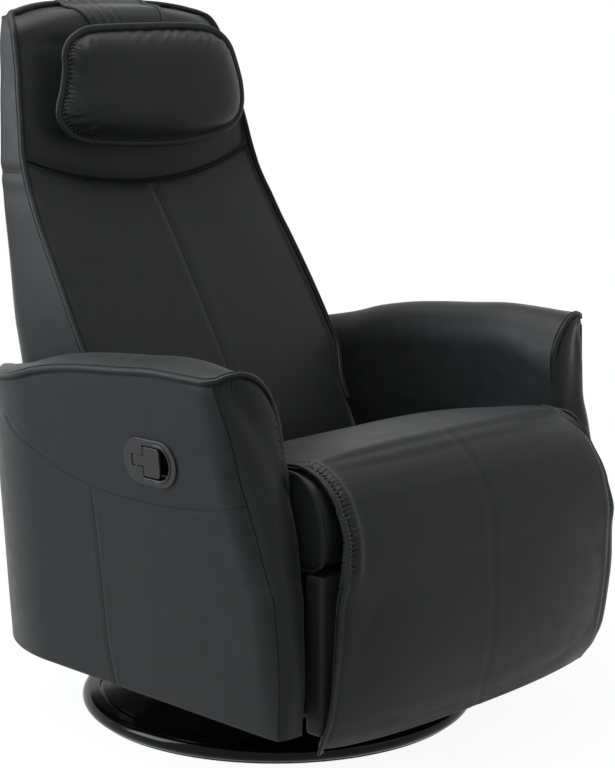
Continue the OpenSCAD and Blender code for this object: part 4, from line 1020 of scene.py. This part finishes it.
def makeBack():
    shell = backShell()
    ring = shell[np.argmin(np.abs(shell[:, 20, 2] - back["sideSeamZ"]))]
    shell = sew(shell, ring, groove=1.2, width=6)
    # soft dents in the boxing beside the piping
    shell = lift(shell, 0.8 * ripple(shell, 260, 11))
    cap = mix(shell[0][None], shell[0].mean(0)[None, None], np.linspace(0, 1, 6)[:, None, None])
    frontWall = mix(shell[:, 0][:, None], shell[:, -1][:, None], np.linspace(0, 1, 12)[None, :, None])
    piece = stitchGrids("backShell", [shell, cap, frontWall], leather["blackLeather"], join=0.5)
    finishPiece(piece, "back", replaces="back_body")
    # a near-black cord in the side seam's groove: painted shade
    laid, looks = settle(ring[4:-4], shell)
    backShadeCords = [(laid - looks * 0.5, 0.9, 0.9, looks)]
    for name, look in panels.items():
        rows, columns = look["rows"], look["columns"]
        grid = backPanel(look, rows, columns)
        coarse = backPanel(look, rows // 3, columns // 3)
        grid = grid + swellOf(coarse, rows, columns, pressure=2.4, shrink=0.006, cap=8)
        grid = stuff(grid, ["u0", "u1", "v0", "v1"], 4.0, 11, sink=True)
        if name == "backCushion":
            middle = smoothLine(back["middle"])
            grid = sew(grid, middle, groove=2.2, width=6, puff=0.6)
            # slack leather under the cross seam, beside the piping on both sides
            x, z = np.abs(grid[..., 0]), grid[..., 2]
            slack = np.exp(-((z - 770) / 70) ** 2) * np.exp(-((x - 190) / 60) ** 2)
            folds = np.sin((z * 0.9 + x * 0.35) / 26 + 0.8 * ripple(grid, 160, 21))
            grid = lift(grid, 0.7 * slack * folds)
            grid = lift(grid, 0.7 * ripple(grid, 210, 5))
            # the middle seam's dark line is painted shade
            laid, looks = settle(middle, grid)
            backShadeCords.append((laid - looks * 0.5, 0.9, 0.9, looks))
        inner = grid * np.array([0.97, 1, 1]) + np.array([0, back["cushionDeep"], 0])
        piece = stitchGrids(name, closeUp(grid, inner, 4), leather["blackLeather"], join=0.3)
        finishPiece(piece, "back", replaces=look["node"])
    # piping up one front edge, along the crest and down the other
    y, z, half = profile(*back["pipingZ"], 90).T
    leftRun = np.column_stack([half + 0.5, y - 1.5, z])
    rightRun = leftRun * np.array([-1, 1, 1])
    share = np.linspace(-0.985, 0.985, 25)
    height = back["topZ"] + 0.5 - crestDrop(np.abs(share))
    crest = np.column_stack([share * 207, weltY(height) + 1.0, height])
    path = smoothLine(np.vstack([rightRun[::3], crest, leftRun[::-3]]), step=2.5)
    looks = unit(path - np.column_stack([path[:, 0] * 0.86, path[:, 1] + 24, np.minimum(path[:, 2] - 6, 1070)]))
    finishPiece(cords("backPiping", [(path, 4.6, 4.4, looks)], leather["blackLeather"]), "back")
    # dark lines of painted shade on both sides of the piping
    for way in (-4.9, 4.9):
        backShadeCords.append((path + besideOf(path, looks) * way + looks * 0.6, 1.0, 1.0, None))
    # a dark line of painted shade along the cross seam
    u = np.linspace(-0.99, 0.99, 31)
    z = crossSeam(np.abs(u))
    cross = np.column_stack([u * backHalf(z), weltY(z) - 4 * (1 - np.abs(u) ** 2.6) + 1.2, z])
    backShadeCords.append((smoothLine(cross), 1.6, 1.6, None))
    finishPiece(cords("backSeams", backShadeCords, leather["seamPaintedShade"]), "back")
    return grid


headSkin = makeBack()
print("back is covered")

# ---------- seat and leg rest

seat = {
    # [half width, y, z] of the cover at its sewn edge, from the rear to the foot of the leg rest
    "edge": [(303, 22, 394), (303, 8, 404), (303, -20, 413), (303, -70, 424), (303, -125, 440),
             (302, -195, 459), (299, -262, 472), (293, -322, 479), (289, -341, 476), (288, -362, 468),
             (290, -381, 457), (292, -398, 442), (294, -408, 426), (296, -419, 408), (298, -426, 390),
             (300, -428, 374), (304, -431, 335), (307, -424, 298), (310, -422, 243), (311, -415, 186),
             (311, -407, 140), (310, -396, 113), (309, -389, 98), (306, -382, 85)],
    # [y, z] on the middle line
    "middle": [(22, 398), (8, 410), (-20, 423), (-70, 440), (-125, 459), (-195, 479), (-265, 491),
               (-325, 492), (-355, 483), (-378, 468), (-397, 452), (-409, 437), (-418, 418), (-425, 400),
               (-430, 384), (-434, 370), (-440, 330), (-443, 298), (-445, 248), (-441, 186), (-431, 136),
               (-425, 114), (-419, 97), (-412, 83)],
    # [y, z] round the boxed cushion, and of the piping on its sides
    "cushion": [(18, 342), (23, 366), (13, 389), (-10, 402), (-70, 415), (-125, 431), (-195, 450),
                (-265, 463), (-325, 469), (-345, 465), (-362, 455), (-374, 442), (-382, 425), (-387, 408),
                (-389, 390), (-389, 372), (-385, 356), (-375, 346), (-360, 342), (-300, 340.5),
                (-150, 340.5)],
    "sidePiping": [(-290, 474), (-336, 472), (-350, 467), (-363, 457), (-375, 444), (-383, 426), (-388, 408),
                   (-391, 390), (-391, 371), (-387, 354), (-377, 345), (-365, 341), (-330, 340)],
    "cushionHalf": 301.0, "cushionSwell": 5.0, "pipingX": 303.0,
    "rows": 470, "columns": 120, "thick": 6.0, "backY": -403.0,
    # how far the edge is drawn in on the right and on the left, and the left hem's tuck: inwards, deep
    "hem": 8.0, "farHem": 5.0, "farTuck": (5, 9),
    # share of the edge's run, and how strongly it gathers there
    "gatherZone": [(0, 0), (0.4, 0.1), (0.47, 1), (0.64, 1), (0.7, 0.1), (1, 0)], "dotZone": (0.42, 0.66),
    # [outwards from the hem's line, off the skin, half width, half height] of each cord; the seam cords are
    # near black: painted shade in the hem's groove
    "hemCords": {"coverHem": [(1.6, 1.2, 2.9, 2.7), (-3.2, 0.6, 2.6, 2.3)],
                 "coverSeams": [(-0.8, 1.6, 0.8, 0.8), (-6.0, 0.4, 1.2, 1.0)]},
    # [y, z] of the cloth behind the seat; it is cut in round the glide uprights, from y to y
    "sling": [(24, 338), (34, 306), (62, 288), (120, 262), (160, 236), (200, 211), (240, 183), (264, 166),
              (292, 152), (318, 150)],
    "slingHalf": 268.0, "slingNeck": 188.0, "slingCuts": (72, 206), "slingThick": 1.6,
    # the strips beside the fascia: x at the fascia's end, y, heights, thickness
    "filler": (279.0, -342, (126, 336), 6.0),
}


def coverGrid(rows, across):
    # edge and middle share their places by number, so that the cover's rungs run straight across
    edge, middle = curveThrough(seat["edge"], 16), curveThrough(seat["middle"], 16)
    run = runLength((edge[:, 1:] + middle) / 2)
    at = np.linspace(0, run[-1], rows)
    edge, middle = takeAt(at, run, edge), takeAt(at, run, middle)
    u = across[None, :, None]
    yz = mix(middle[:, None], edge[:, None, 1:], np.abs(u) ** 3.0)
    farTrim = seat["farHem"] - 15 * ease((400 - edge[:, 2]) / 110)
    x = u * (edge[:, :1, None] - np.where(u > 0, farTrim[:, None, None], seat["hem"]))
    return faceTo(np.concatenate([x, yz], axis=2), (0, -0.6, 0.8))


def bendCover(piece):
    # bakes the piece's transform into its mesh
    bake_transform(piece)


def makeCover():
    rows, columns = seat["rows"], seat["columns"]
    # places across the seat, closer together towards the sewn edges
    t = np.linspace(-1, 1, columns)
    across = np.sign(t) * (1 - (1 - np.abs(t)) ** 1.7)
    grid = coverGrid(rows, across)
    coarse = coverGrid(80, np.linspace(-1, 1, 60))
    grid = grid + swellOf(coarse, rows, columns, across, pressure=1.6, shrink=0.012, cap=8)
    grid = stuff(grid, ["u0", "u1"], 4.0, 15, sink=True)
    grid = stuff(grid, ["v1"], 3.0, 14, sink=True)
    middle = smoothLine([(0, y, z) for y, z in seat["middle"][6:]], step=2.5)
    grid = sew(grid, middle, groove=1.9, width=4.2, puff=0.4)
    for side, pucker in ((-1, 3.2), (1, 0.0)):
        line = smoothLine([(side * (x - seat["hem"]), y, z) for x, y, z in seat["edge"]])
        grid = sew(grid, line, width=4, pucker=pucker, pitch=7.6, reach=12, zone=seat["gatherZone"], seed=8)
        # a plump roll inside the gathers
        gap, at = nearest(grid.reshape(-1, 3), line)
        share = smoothRow(at / runLength(line)[-1], seat["gatherZone"]) * (side < 0)
        grid = lift(grid, (4.6 * share * np.exp(-((gap - 17) / 8) ** 2)).reshape(rows, columns))
    grid = lift(grid, 0.7 * ripple(grid, 330, 31))
    # the underside: close under the seat's top, and a flat back behind the leg rest
    lower = grid - normalsOf(grid) * seat["thick"]
    x, y, z = np.moveaxis(grid, 2, 0)
    hang = ease((430 - z) / 60) * (y < -300)
    inside = 1 - np.abs(x / np.abs(x).max(1, keepdims=True)) ** 14
    flat = np.maximum(lower[..., 1], seat["backY"])
    lower[..., 1] = mix(lower[..., 1], flat, hang * np.clip(inside, 0, 1))
    cover = stitchGrids("seatCover", closeUp(grid, lower, 4), leather["blackLeather"], join=0.25)
    bendCover(cover)
    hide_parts("leg_pad")


def makeHem():
    # flat sewn hem along both sides: a rolled outer edge, a groove darkened by near-black cords of painted
    # shade, and the stitches in it
    runs = {"coverHem": [], "coverGathers": [], "coverSeams": []}
    dotRows = []
    for side in (-1, 1):
        line = smoothLine([(side * (x - 3.4), y, z) for x, y, z in seat["edge"][1:]], step=2.2)
        along = np.gradient(line, axis=0)
        looks = np.column_stack([0 * along[:, 0], -along[:, 2], along[:, 1]])
        looks = unit(looks * np.sign((looks * np.array([0, -0.6, 0.8])).sum(1))[:, None])
        if side > 0:
            # on the left side the hem is tucked behind the fuller edge of the pad
            inwards, deep = seat["farTuck"]
            line = line - looks * (3 + (deep - 3) * ease((465 - line[:, 2:]) / 25)) - np.array([inwards, 0, 0])
        out = np.array([float(side), 0, 0])
        for name, rows in seat["hemCords"].items():
            for away, off, wide, high in rows:
                runs[name].append((line + out * away + looks * off, wide, high, looks))
        part = slice(*(int(len(line) * share) for share in seat["dotZone"]))
        dotRows.append(((line - out * 3.2 + looks * 2.9)[part], looks[part], 5.6, 3.4, 0.85, 0.5))
        if side < 0:
            foot = (line - out * 6.6 + looks * 0.9)[part]
            runs["coverGathers"] = gathers(foot, looks[part], np.tile(-out, (len(foot), 1)), 6.8, 12, 2.1, 12)
    for name, rows in runs.items():
        finish = "seamPaintedShade" if name == "coverSeams" else "blackLeather"
        bendCover(cords(name, rows, leather[finish]))
    bendCover(stitches("coverStitches", dotRows, metals["waxedThread"]))


def makeSeatCushion():
    # the boxed cushion under the cover, seen at its sides
    outline = smoothLine(seat["cushion"], closed=True, count=260)
    half, centre = seat["cushionHalf"], outline.mean(0)

    def ring(x, share):
        return np.column_stack([np.full(len(outline), x), mix(centre, outline, share)])

    leftCap = np.array([ring(half + seat["cushionSwell"] * (1 - r ** 3.5), r) for r in np.linspace(0, 1, 26)])
    body = np.array([ring(x, 1) for x in np.linspace(-half, half, 24)])
    skins = [leftCap, leftCap * np.array([-1, 1, 1]), body]
    piece = stitchGrids("seatCushion", skins, leather["blackLeather"], join=0.3, closed=True)
    finishPiece(piece, "seat", replaces="seat_cushion")
    runs = [(smoothLine([(side * seat["pipingX"], y + (0.5 if y > -380 else -0.5), z)
                         for y, z in seat["sidePiping"]], step=2.5), 2.6, 2.6, None) for side in (-1, 1)]
    finishPiece(cords("seatPiping", runs, leather["blackLeather"]), "seat")


def thickSheet(name, grid, thick, material):
    return stitchGrids(name, closeUp(grid, grid - normalsOf(grid) * thick, 3), material, join=0.1)


def makeSling():
    # cloth under the swing of the back, from the seat's rear edge down to the rear panel
    lane = smoothLine(seat["sling"], step=6)
    start, end = seat["slingCuts"]
    neck = ease((lane[:, 0] - start) / 16) * (1 - ease((lane[:, 0] - end + 16) / 16))
    half = mix(seat["slingHalf"], seat["slingNeck"], neck)
    grid = np.stack([np.column_stack([u * half, lane]) for u in np.linspace(-1, 1, 46)], axis=1)
    grid = faceTo(grid, (0, 0.3, 1.0))
    grid = lift(grid, 0.8 * ripple(grid, 90, 41))
    # the sling's skin is the lighter copy of the black leather: painted light on a part in shade
    finishPiece(thickSheet("rearSling", grid, seat["slingThick"], leather["paddedBlackPaintedLight"]), "seat")


def makeFillers():
    # padded strips between the front fascia's ends and the arms
    endX, fasciaY, heights, thick = seat["filler"]
    z = np.linspace(*heights, 44)[:, None]
    share = np.linspace(0, 1, 12)[None, :]
    x = mix(endX, armInner(fasciaY - 3.0, z) - 0.6, share)
    y = fasciaY - 3.5 * hollow(share) ** 0.5 + 0 * z
    for side, name in ((-1, "fillerRight"), (1, "fillerLeft")):
        grid = faceTo(np.dstack([x * side, y, z + 0 * x]), (0, -1, 0))
        # the fillers' skin is the lighter copy of the black leather: painted light on parts in shade
        finishPiece(thickSheet(name, grid, thick, leather["paddedBlackPaintedLight"]), "seat")


def boxMiddle(box):
    # centre and half size of a node's box, in millimetres
    low, high = (np.array(corner) / mm for corner in box)
    return (low + high) / 2, (high - low) / 2


legCore = {
    # it hangs lower than its node and stands out further at its ends
    "lower": 10, "wider": 3, "squareX": 0.16, "squareY": 0.42,
    # [share of the height, share of the depth]
    "levels": [(0, 0.0), (0, 0.8), (0.004, 0.93), (0.015, 0.98), (0.04, 1), (0.5, 1.0), (0.93, 1),
               (0.965, 0.985), (0.985, 0.96), (0.996, 0.92), (1, 0.84), (1, 0)],
}


def makeLegCore():
    centre, half = boxMiddle(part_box("leg_core"))
    low, tall = centre[2] - half[2] - legCore["lower"], 2 * half[2] + legCore["lower"]
    turn = np.linspace(0, 2 * math.pi, 160, endpoint=False)
    c, s = np.cos(turn), np.sin(turn)
    rings = []
    for level, share in legCore["levels"]:
        inset = (1 - share) * half[1]
        wide = half[0] + legCore["wider"] - inset if share > 0 else 0
        x = np.sign(c) * np.abs(c) ** legCore["squareX"] * wide
        y = np.sign(s) * np.abs(s) ** legCore["squareY"] * (half[1] - inset)
        rings.append(np.column_stack([centre[0] + x, centre[1] + y, np.full(len(x), low + level * tall)]))
    # the core's skin is the lighter copy of the black leather: painted light on a part in shade
    piece = stitchGrids("legCore", [np.array(rings)], leather["paddedBlackPaintedLight"], join=0.2, closed=True)
    finishPiece(piece, "leg_rest", replaces="leg_core")


makeCover()
makeHem()
makeSeatCushion()
makeLegCore()
makeSling()
makeFillers()
print("seat and leg rest are covered")

# ---------- head pillow and its strap

pillow = {
    "y": 281, "middleZ": 968.0, "lean": 3.0, "frontDepth": 37, "rearDepth": 23, "hemHalf": 6.0,
    "outline": [(-165, 1052), (-134, 1064), (-73, 1067), (-20, 1067.5), (32, 1068), (80, 1067), (120, 1064),
                (152, 1053), (176, 1032), (190, 1000), (200, 964), (200, 930), (187, 904), (150, 884),
                (73, 871), (7, 869), (-77, 873), (-147, 880), (-183, 894), (-203, 918), (-204, 941),
                (-194, 970), (-188, 998), (-187, 1022), (-179, 1040)],
}


def pillowSkin(outline, rings, depth, way, power=4.2):
    # from the hem to the middle; its last column is its first again
    outline = np.vstack([outline, outline[:1]])
    grid = []
    for r in np.sin(np.linspace(math.pi / 2, 0, rings)):
        xz = mix(np.array([0, pillow["middleZ"]]), outline, r)
        rise = depth * (1 - r ** power) ** 0.62
        grid.append(np.column_stack([xz[:, 0], np.full(len(xz), pillow["y"]) + way * rise, xz[:, 1]]))
    return np.array(grid)


def insetLoop(loop, depth):
    # a closed flat outline moved inwards by depth
    along = unit(np.roll(loop, -1, axis=0) - np.roll(loop, 1, axis=0))
    inwards = np.column_stack([-along[:, 1], along[:, 0]])
    if (inwards * (loop.mean(0) - loop)).sum() < 0:
        inwards = -inwards
    moved = loop + inwards * depth
    for _ in range(6):
        moved = (np.roll(moved, 1, axis=0) + 2 * moved + np.roll(moved, -1, axis=0)) / 4
    return moved


def tip(points):
    # the pillow leans back a little
    out = np.array(points)
    out[..., 1] += (out[..., 2] - pillow["middleZ"]) * math.tan(math.radians(pillow["lean"]))
    return out


def upright(loop, y):
    # a flat outline stood up at a depth
    return np.column_stack([loop[:, 0], np.full(len(loop), y), loop[:, 1]])


def makePillow():
    outline = smoothLine(pillow["outline"], closed=True, count=560)
    edge, y = pillow["hemHalf"], pillow["y"]
    inner = insetLoop(outline, 2 * edge)
    front = pillowSkin(inner, 46, pillow["frontDepth"], -1)
    coarse = pillowSkin(inner[::8], 18, pillow["frontDepth"], -1)
    turned = faceTo(coarse, (0, -1, 0))
    pinned = np.zeros(turned.shape[:2])
    pinned[0] = 1
    moved = inflate(turned, pinned, pressure=3.5, shrink=-0.006, cap=7)
    if not np.allclose(turned, coarse):
        moved = moved[:, ::-1]
    # Cloth gives the slack folds; the depth stays as measured
    moved[..., 1] -= np.median(moved[8:, :, 1])
    moved[..., 1] *= ease(np.linspace(0, 1, len(moved)) / 0.3)[:, None]
    front = front + enlarge(moved * 0.7, *front.shape[:2])
    front[:, -1] = front[:, 0]
    skin = faceTo(front, (0, -1, 0))
    # gathers on the left edge and along the bottom right, soft creases along the top
    spot = skin.reshape(-1, 3)
    gap, at = nearest(spot, upright(np.vstack([inner, inner[:1]]), y))
    x, z = spot[:, 0], spot[:, 2]
    leftZone = ease((-120 - x) / 40)
    rightZone = ease((x - 40) / 60) * ease((930 - z) / 30)
    topZone = ease((z - 1000) / 40) * ease((x + 90) / 60)
    lowZone = ease((930 - z) / 40)
    wave = np.sin(2 * math.pi * at / 7.2 + 1.3 * waver(at, 31, 7))
    broad = np.sin(2 * math.pi * (at + gap * 0.9) / 27 + 1.6 * waver(at, 70, 9))
    shift = 2.3 * (leftZone + 0.9 * rightZone + 0.5 * lowZone) * wave * np.exp(-gap / 7)
    shift *= 1 - np.exp(-(gap / 2.5) ** 2)
    shift += (0.9 * leftZone + 1.3 * topZone) * broad * np.exp(-((gap - 18) / 14) ** 2)
    shift += 0.7 * ripple(spot, 170, 3) * (1 - np.exp(-gap / 30))
    skin = lift(skin, shift.reshape(skin.shape[:2]))
    rear = faceTo(pillowSkin(inner, 30, pillow["rearDepth"], 1, power=3.0), (0, 1, 0))
    piece = stitchGrids("headPillow", [tip(skin), tip(rear)], leather["blackLeather"], join=0.15)
    finishPiece(piece, "head_pillow", replaces="pillow")
    # flat hem round the pillow, the dark line of painted shade inside it and the stitches in that line
    groove = insetLoop(outline, 2 * edge - 0.2)
    ring, dark = tip(upright(insetLoop(outline, edge), y - 1.0)), tip(upright(groove, y - 2.6))
    looks = np.tile([0, -1.0, 0], (len(ring), 1))
    for name, line, wide, high, finish in (("pillowHem", ring, edge + 0.2, 3.8, "blackLeather"),
                                           ("pillowSeamShade", dark, 1.4, 1.4, "seamPaintedShade")):
        finishPiece(cords(name, [(line, wide, high, looks)], leather[finish], closed=True), "head_pillow")
    keep = (groove[:, 0] < -150) | (groove[:, 1] < 903)
    start = int(np.argmax(keep & ~np.roll(keep, 1)))
    count = int(np.argmin(np.roll(keep, -start)))
    line = np.roll(dark, -start, axis=0)[:count] + np.array([0, -1.6, 0])
    dots = stitches("pillowStitches", [(line, looks[:count], 6.6, 3.6, 0.8, 0.6)], metals["waxedThread"])
    finishPiece(dots, "head_pillow")


strap = {
    # [y, z, half width] from the crest down to the counterweight
    "run": [(413, 1103.5, 88), (423, 1100, 87), (432, 1090, 85), (440, 1073, 82), (444.5, 1045, 80),
            (445.5, 1010, 79), (441, 960, 79), (437, 925, 79), (435, 905, 79)],
    # how far it lies over the head cushion, from which height, and up to which y
    "over": 3.4, "fromZ": 1012, "toY": 404, "thick": 3.0,
}


def makeStrap(head):
    # its front part lies on the head cushion, from behind the pillow to the crest
    half = head.shape[1] // 2
    middle = head[:, half - 1:half + 1, 1:].mean(1)
    if middle[0, 1] > middle[-1, 1]:
        middle = middle[::-1]
    rise = unit(np.gradient(middle, axis=0))
    laid = middle + np.column_stack([-rise[:, 1], rise[:, 0]]) * strap["over"]
    laid = laid[(laid[:, 1] > strap["fromZ"]) & (laid[:, 0] < strap["toY"])][::5]
    wide = 73 + 14 * ease((laid[:, 1] - 1050) / 55)
    lane = smoothLine(np.vstack([np.column_stack([laid, wide]), strap["run"]]), step=4)
    across = np.linspace(-1, 1, 34)
    along = unit(np.gradient(lane[:, :2], axis=0))
    out = np.column_stack([-along[:, 1], along[:, 0]])
    if out[0, 0] > 0:
        out = -out
    lanes = [np.column_stack([lane[:, 2] * u, lane[:, :2] + out * (1.5 * (1 - u * u))]) for u in across]
    grid = np.stack(lanes, axis=1)
    crease = ease((0.2 - across) / 0.8)[None, :] * np.sin(across[None, :] * 26 + lane[:, 1][:, None] / 60)
    grid = faceTo(grid, grid - np.array([0, 400, 1040.0]))
    if grid[0, 0, 0] > 0:
        crease = crease[:, ::-1]
    grid = lift(grid, 1.5 * crease)
    band = thickSheet("strapBand", grid, strap["thick"], leather["blackLeather"])
    finishPiece(band, "back", replaces="strap")
    runs, dark = [], []
    for k in (0, -1):
        way = np.array([np.sign(grid[0, k, 0]), 0, 0])
        look = normalsOf(grid)[:, k]
        line = grid[:, k] - look * (strap["thick"] / 2)
        runs.append((line + way * 0.5 + look, 3.4, 3.2, look))
        # a near-black line inside each piping: painted shade
        dark.append((line - way * 4.4 + look * 1.6, 1.1, 1.1, None))
    finishPiece(cords("strapPiping", runs, leather["blackLeather"]), "back")
    finishPiece(cords("strapSeams", dark, leather["seamPaintedShade"]), "back")


def makeCounterweight():
    centre, half = boxMiddle(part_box("counterweight"))
    turn = np.linspace(0, 2 * math.pi, 64, endpoint=False)
    c, s = np.cos(turn), np.sin(turn)
    rings = []
    for t in np.linspace(-math.pi / 2, math.pi / 2, 60):
        grow = max(1 - abs(math.sin(t)) ** 9, 0) ** 0.45
        y = np.sign(c) * np.abs(c) ** 0.7 * (half[1] - 4) * grow
        z = np.sign(s) * np.abs(s) ** 0.55 * (half[2] - 2) * (0.9 + 0.1 * grow) * (grow > 0.02)
        x = centre[0] + half[0] * math.sin(t)
        rings.append(np.column_stack([np.full(len(y), x), centre[1] + y + z * 0.1, centre[2] + z]))
    piece = stitchGrids("counterweightPad", [np.array(rings)], leather["blackLeather"], join=0.05, closed=True,
                        fill=True)
    finishPiece(piece, "strap_weight", replaces="counterweight")


makePillow()
makeStrap(headSkin)
makeCounterweight()
print("pillow and strap are hung")
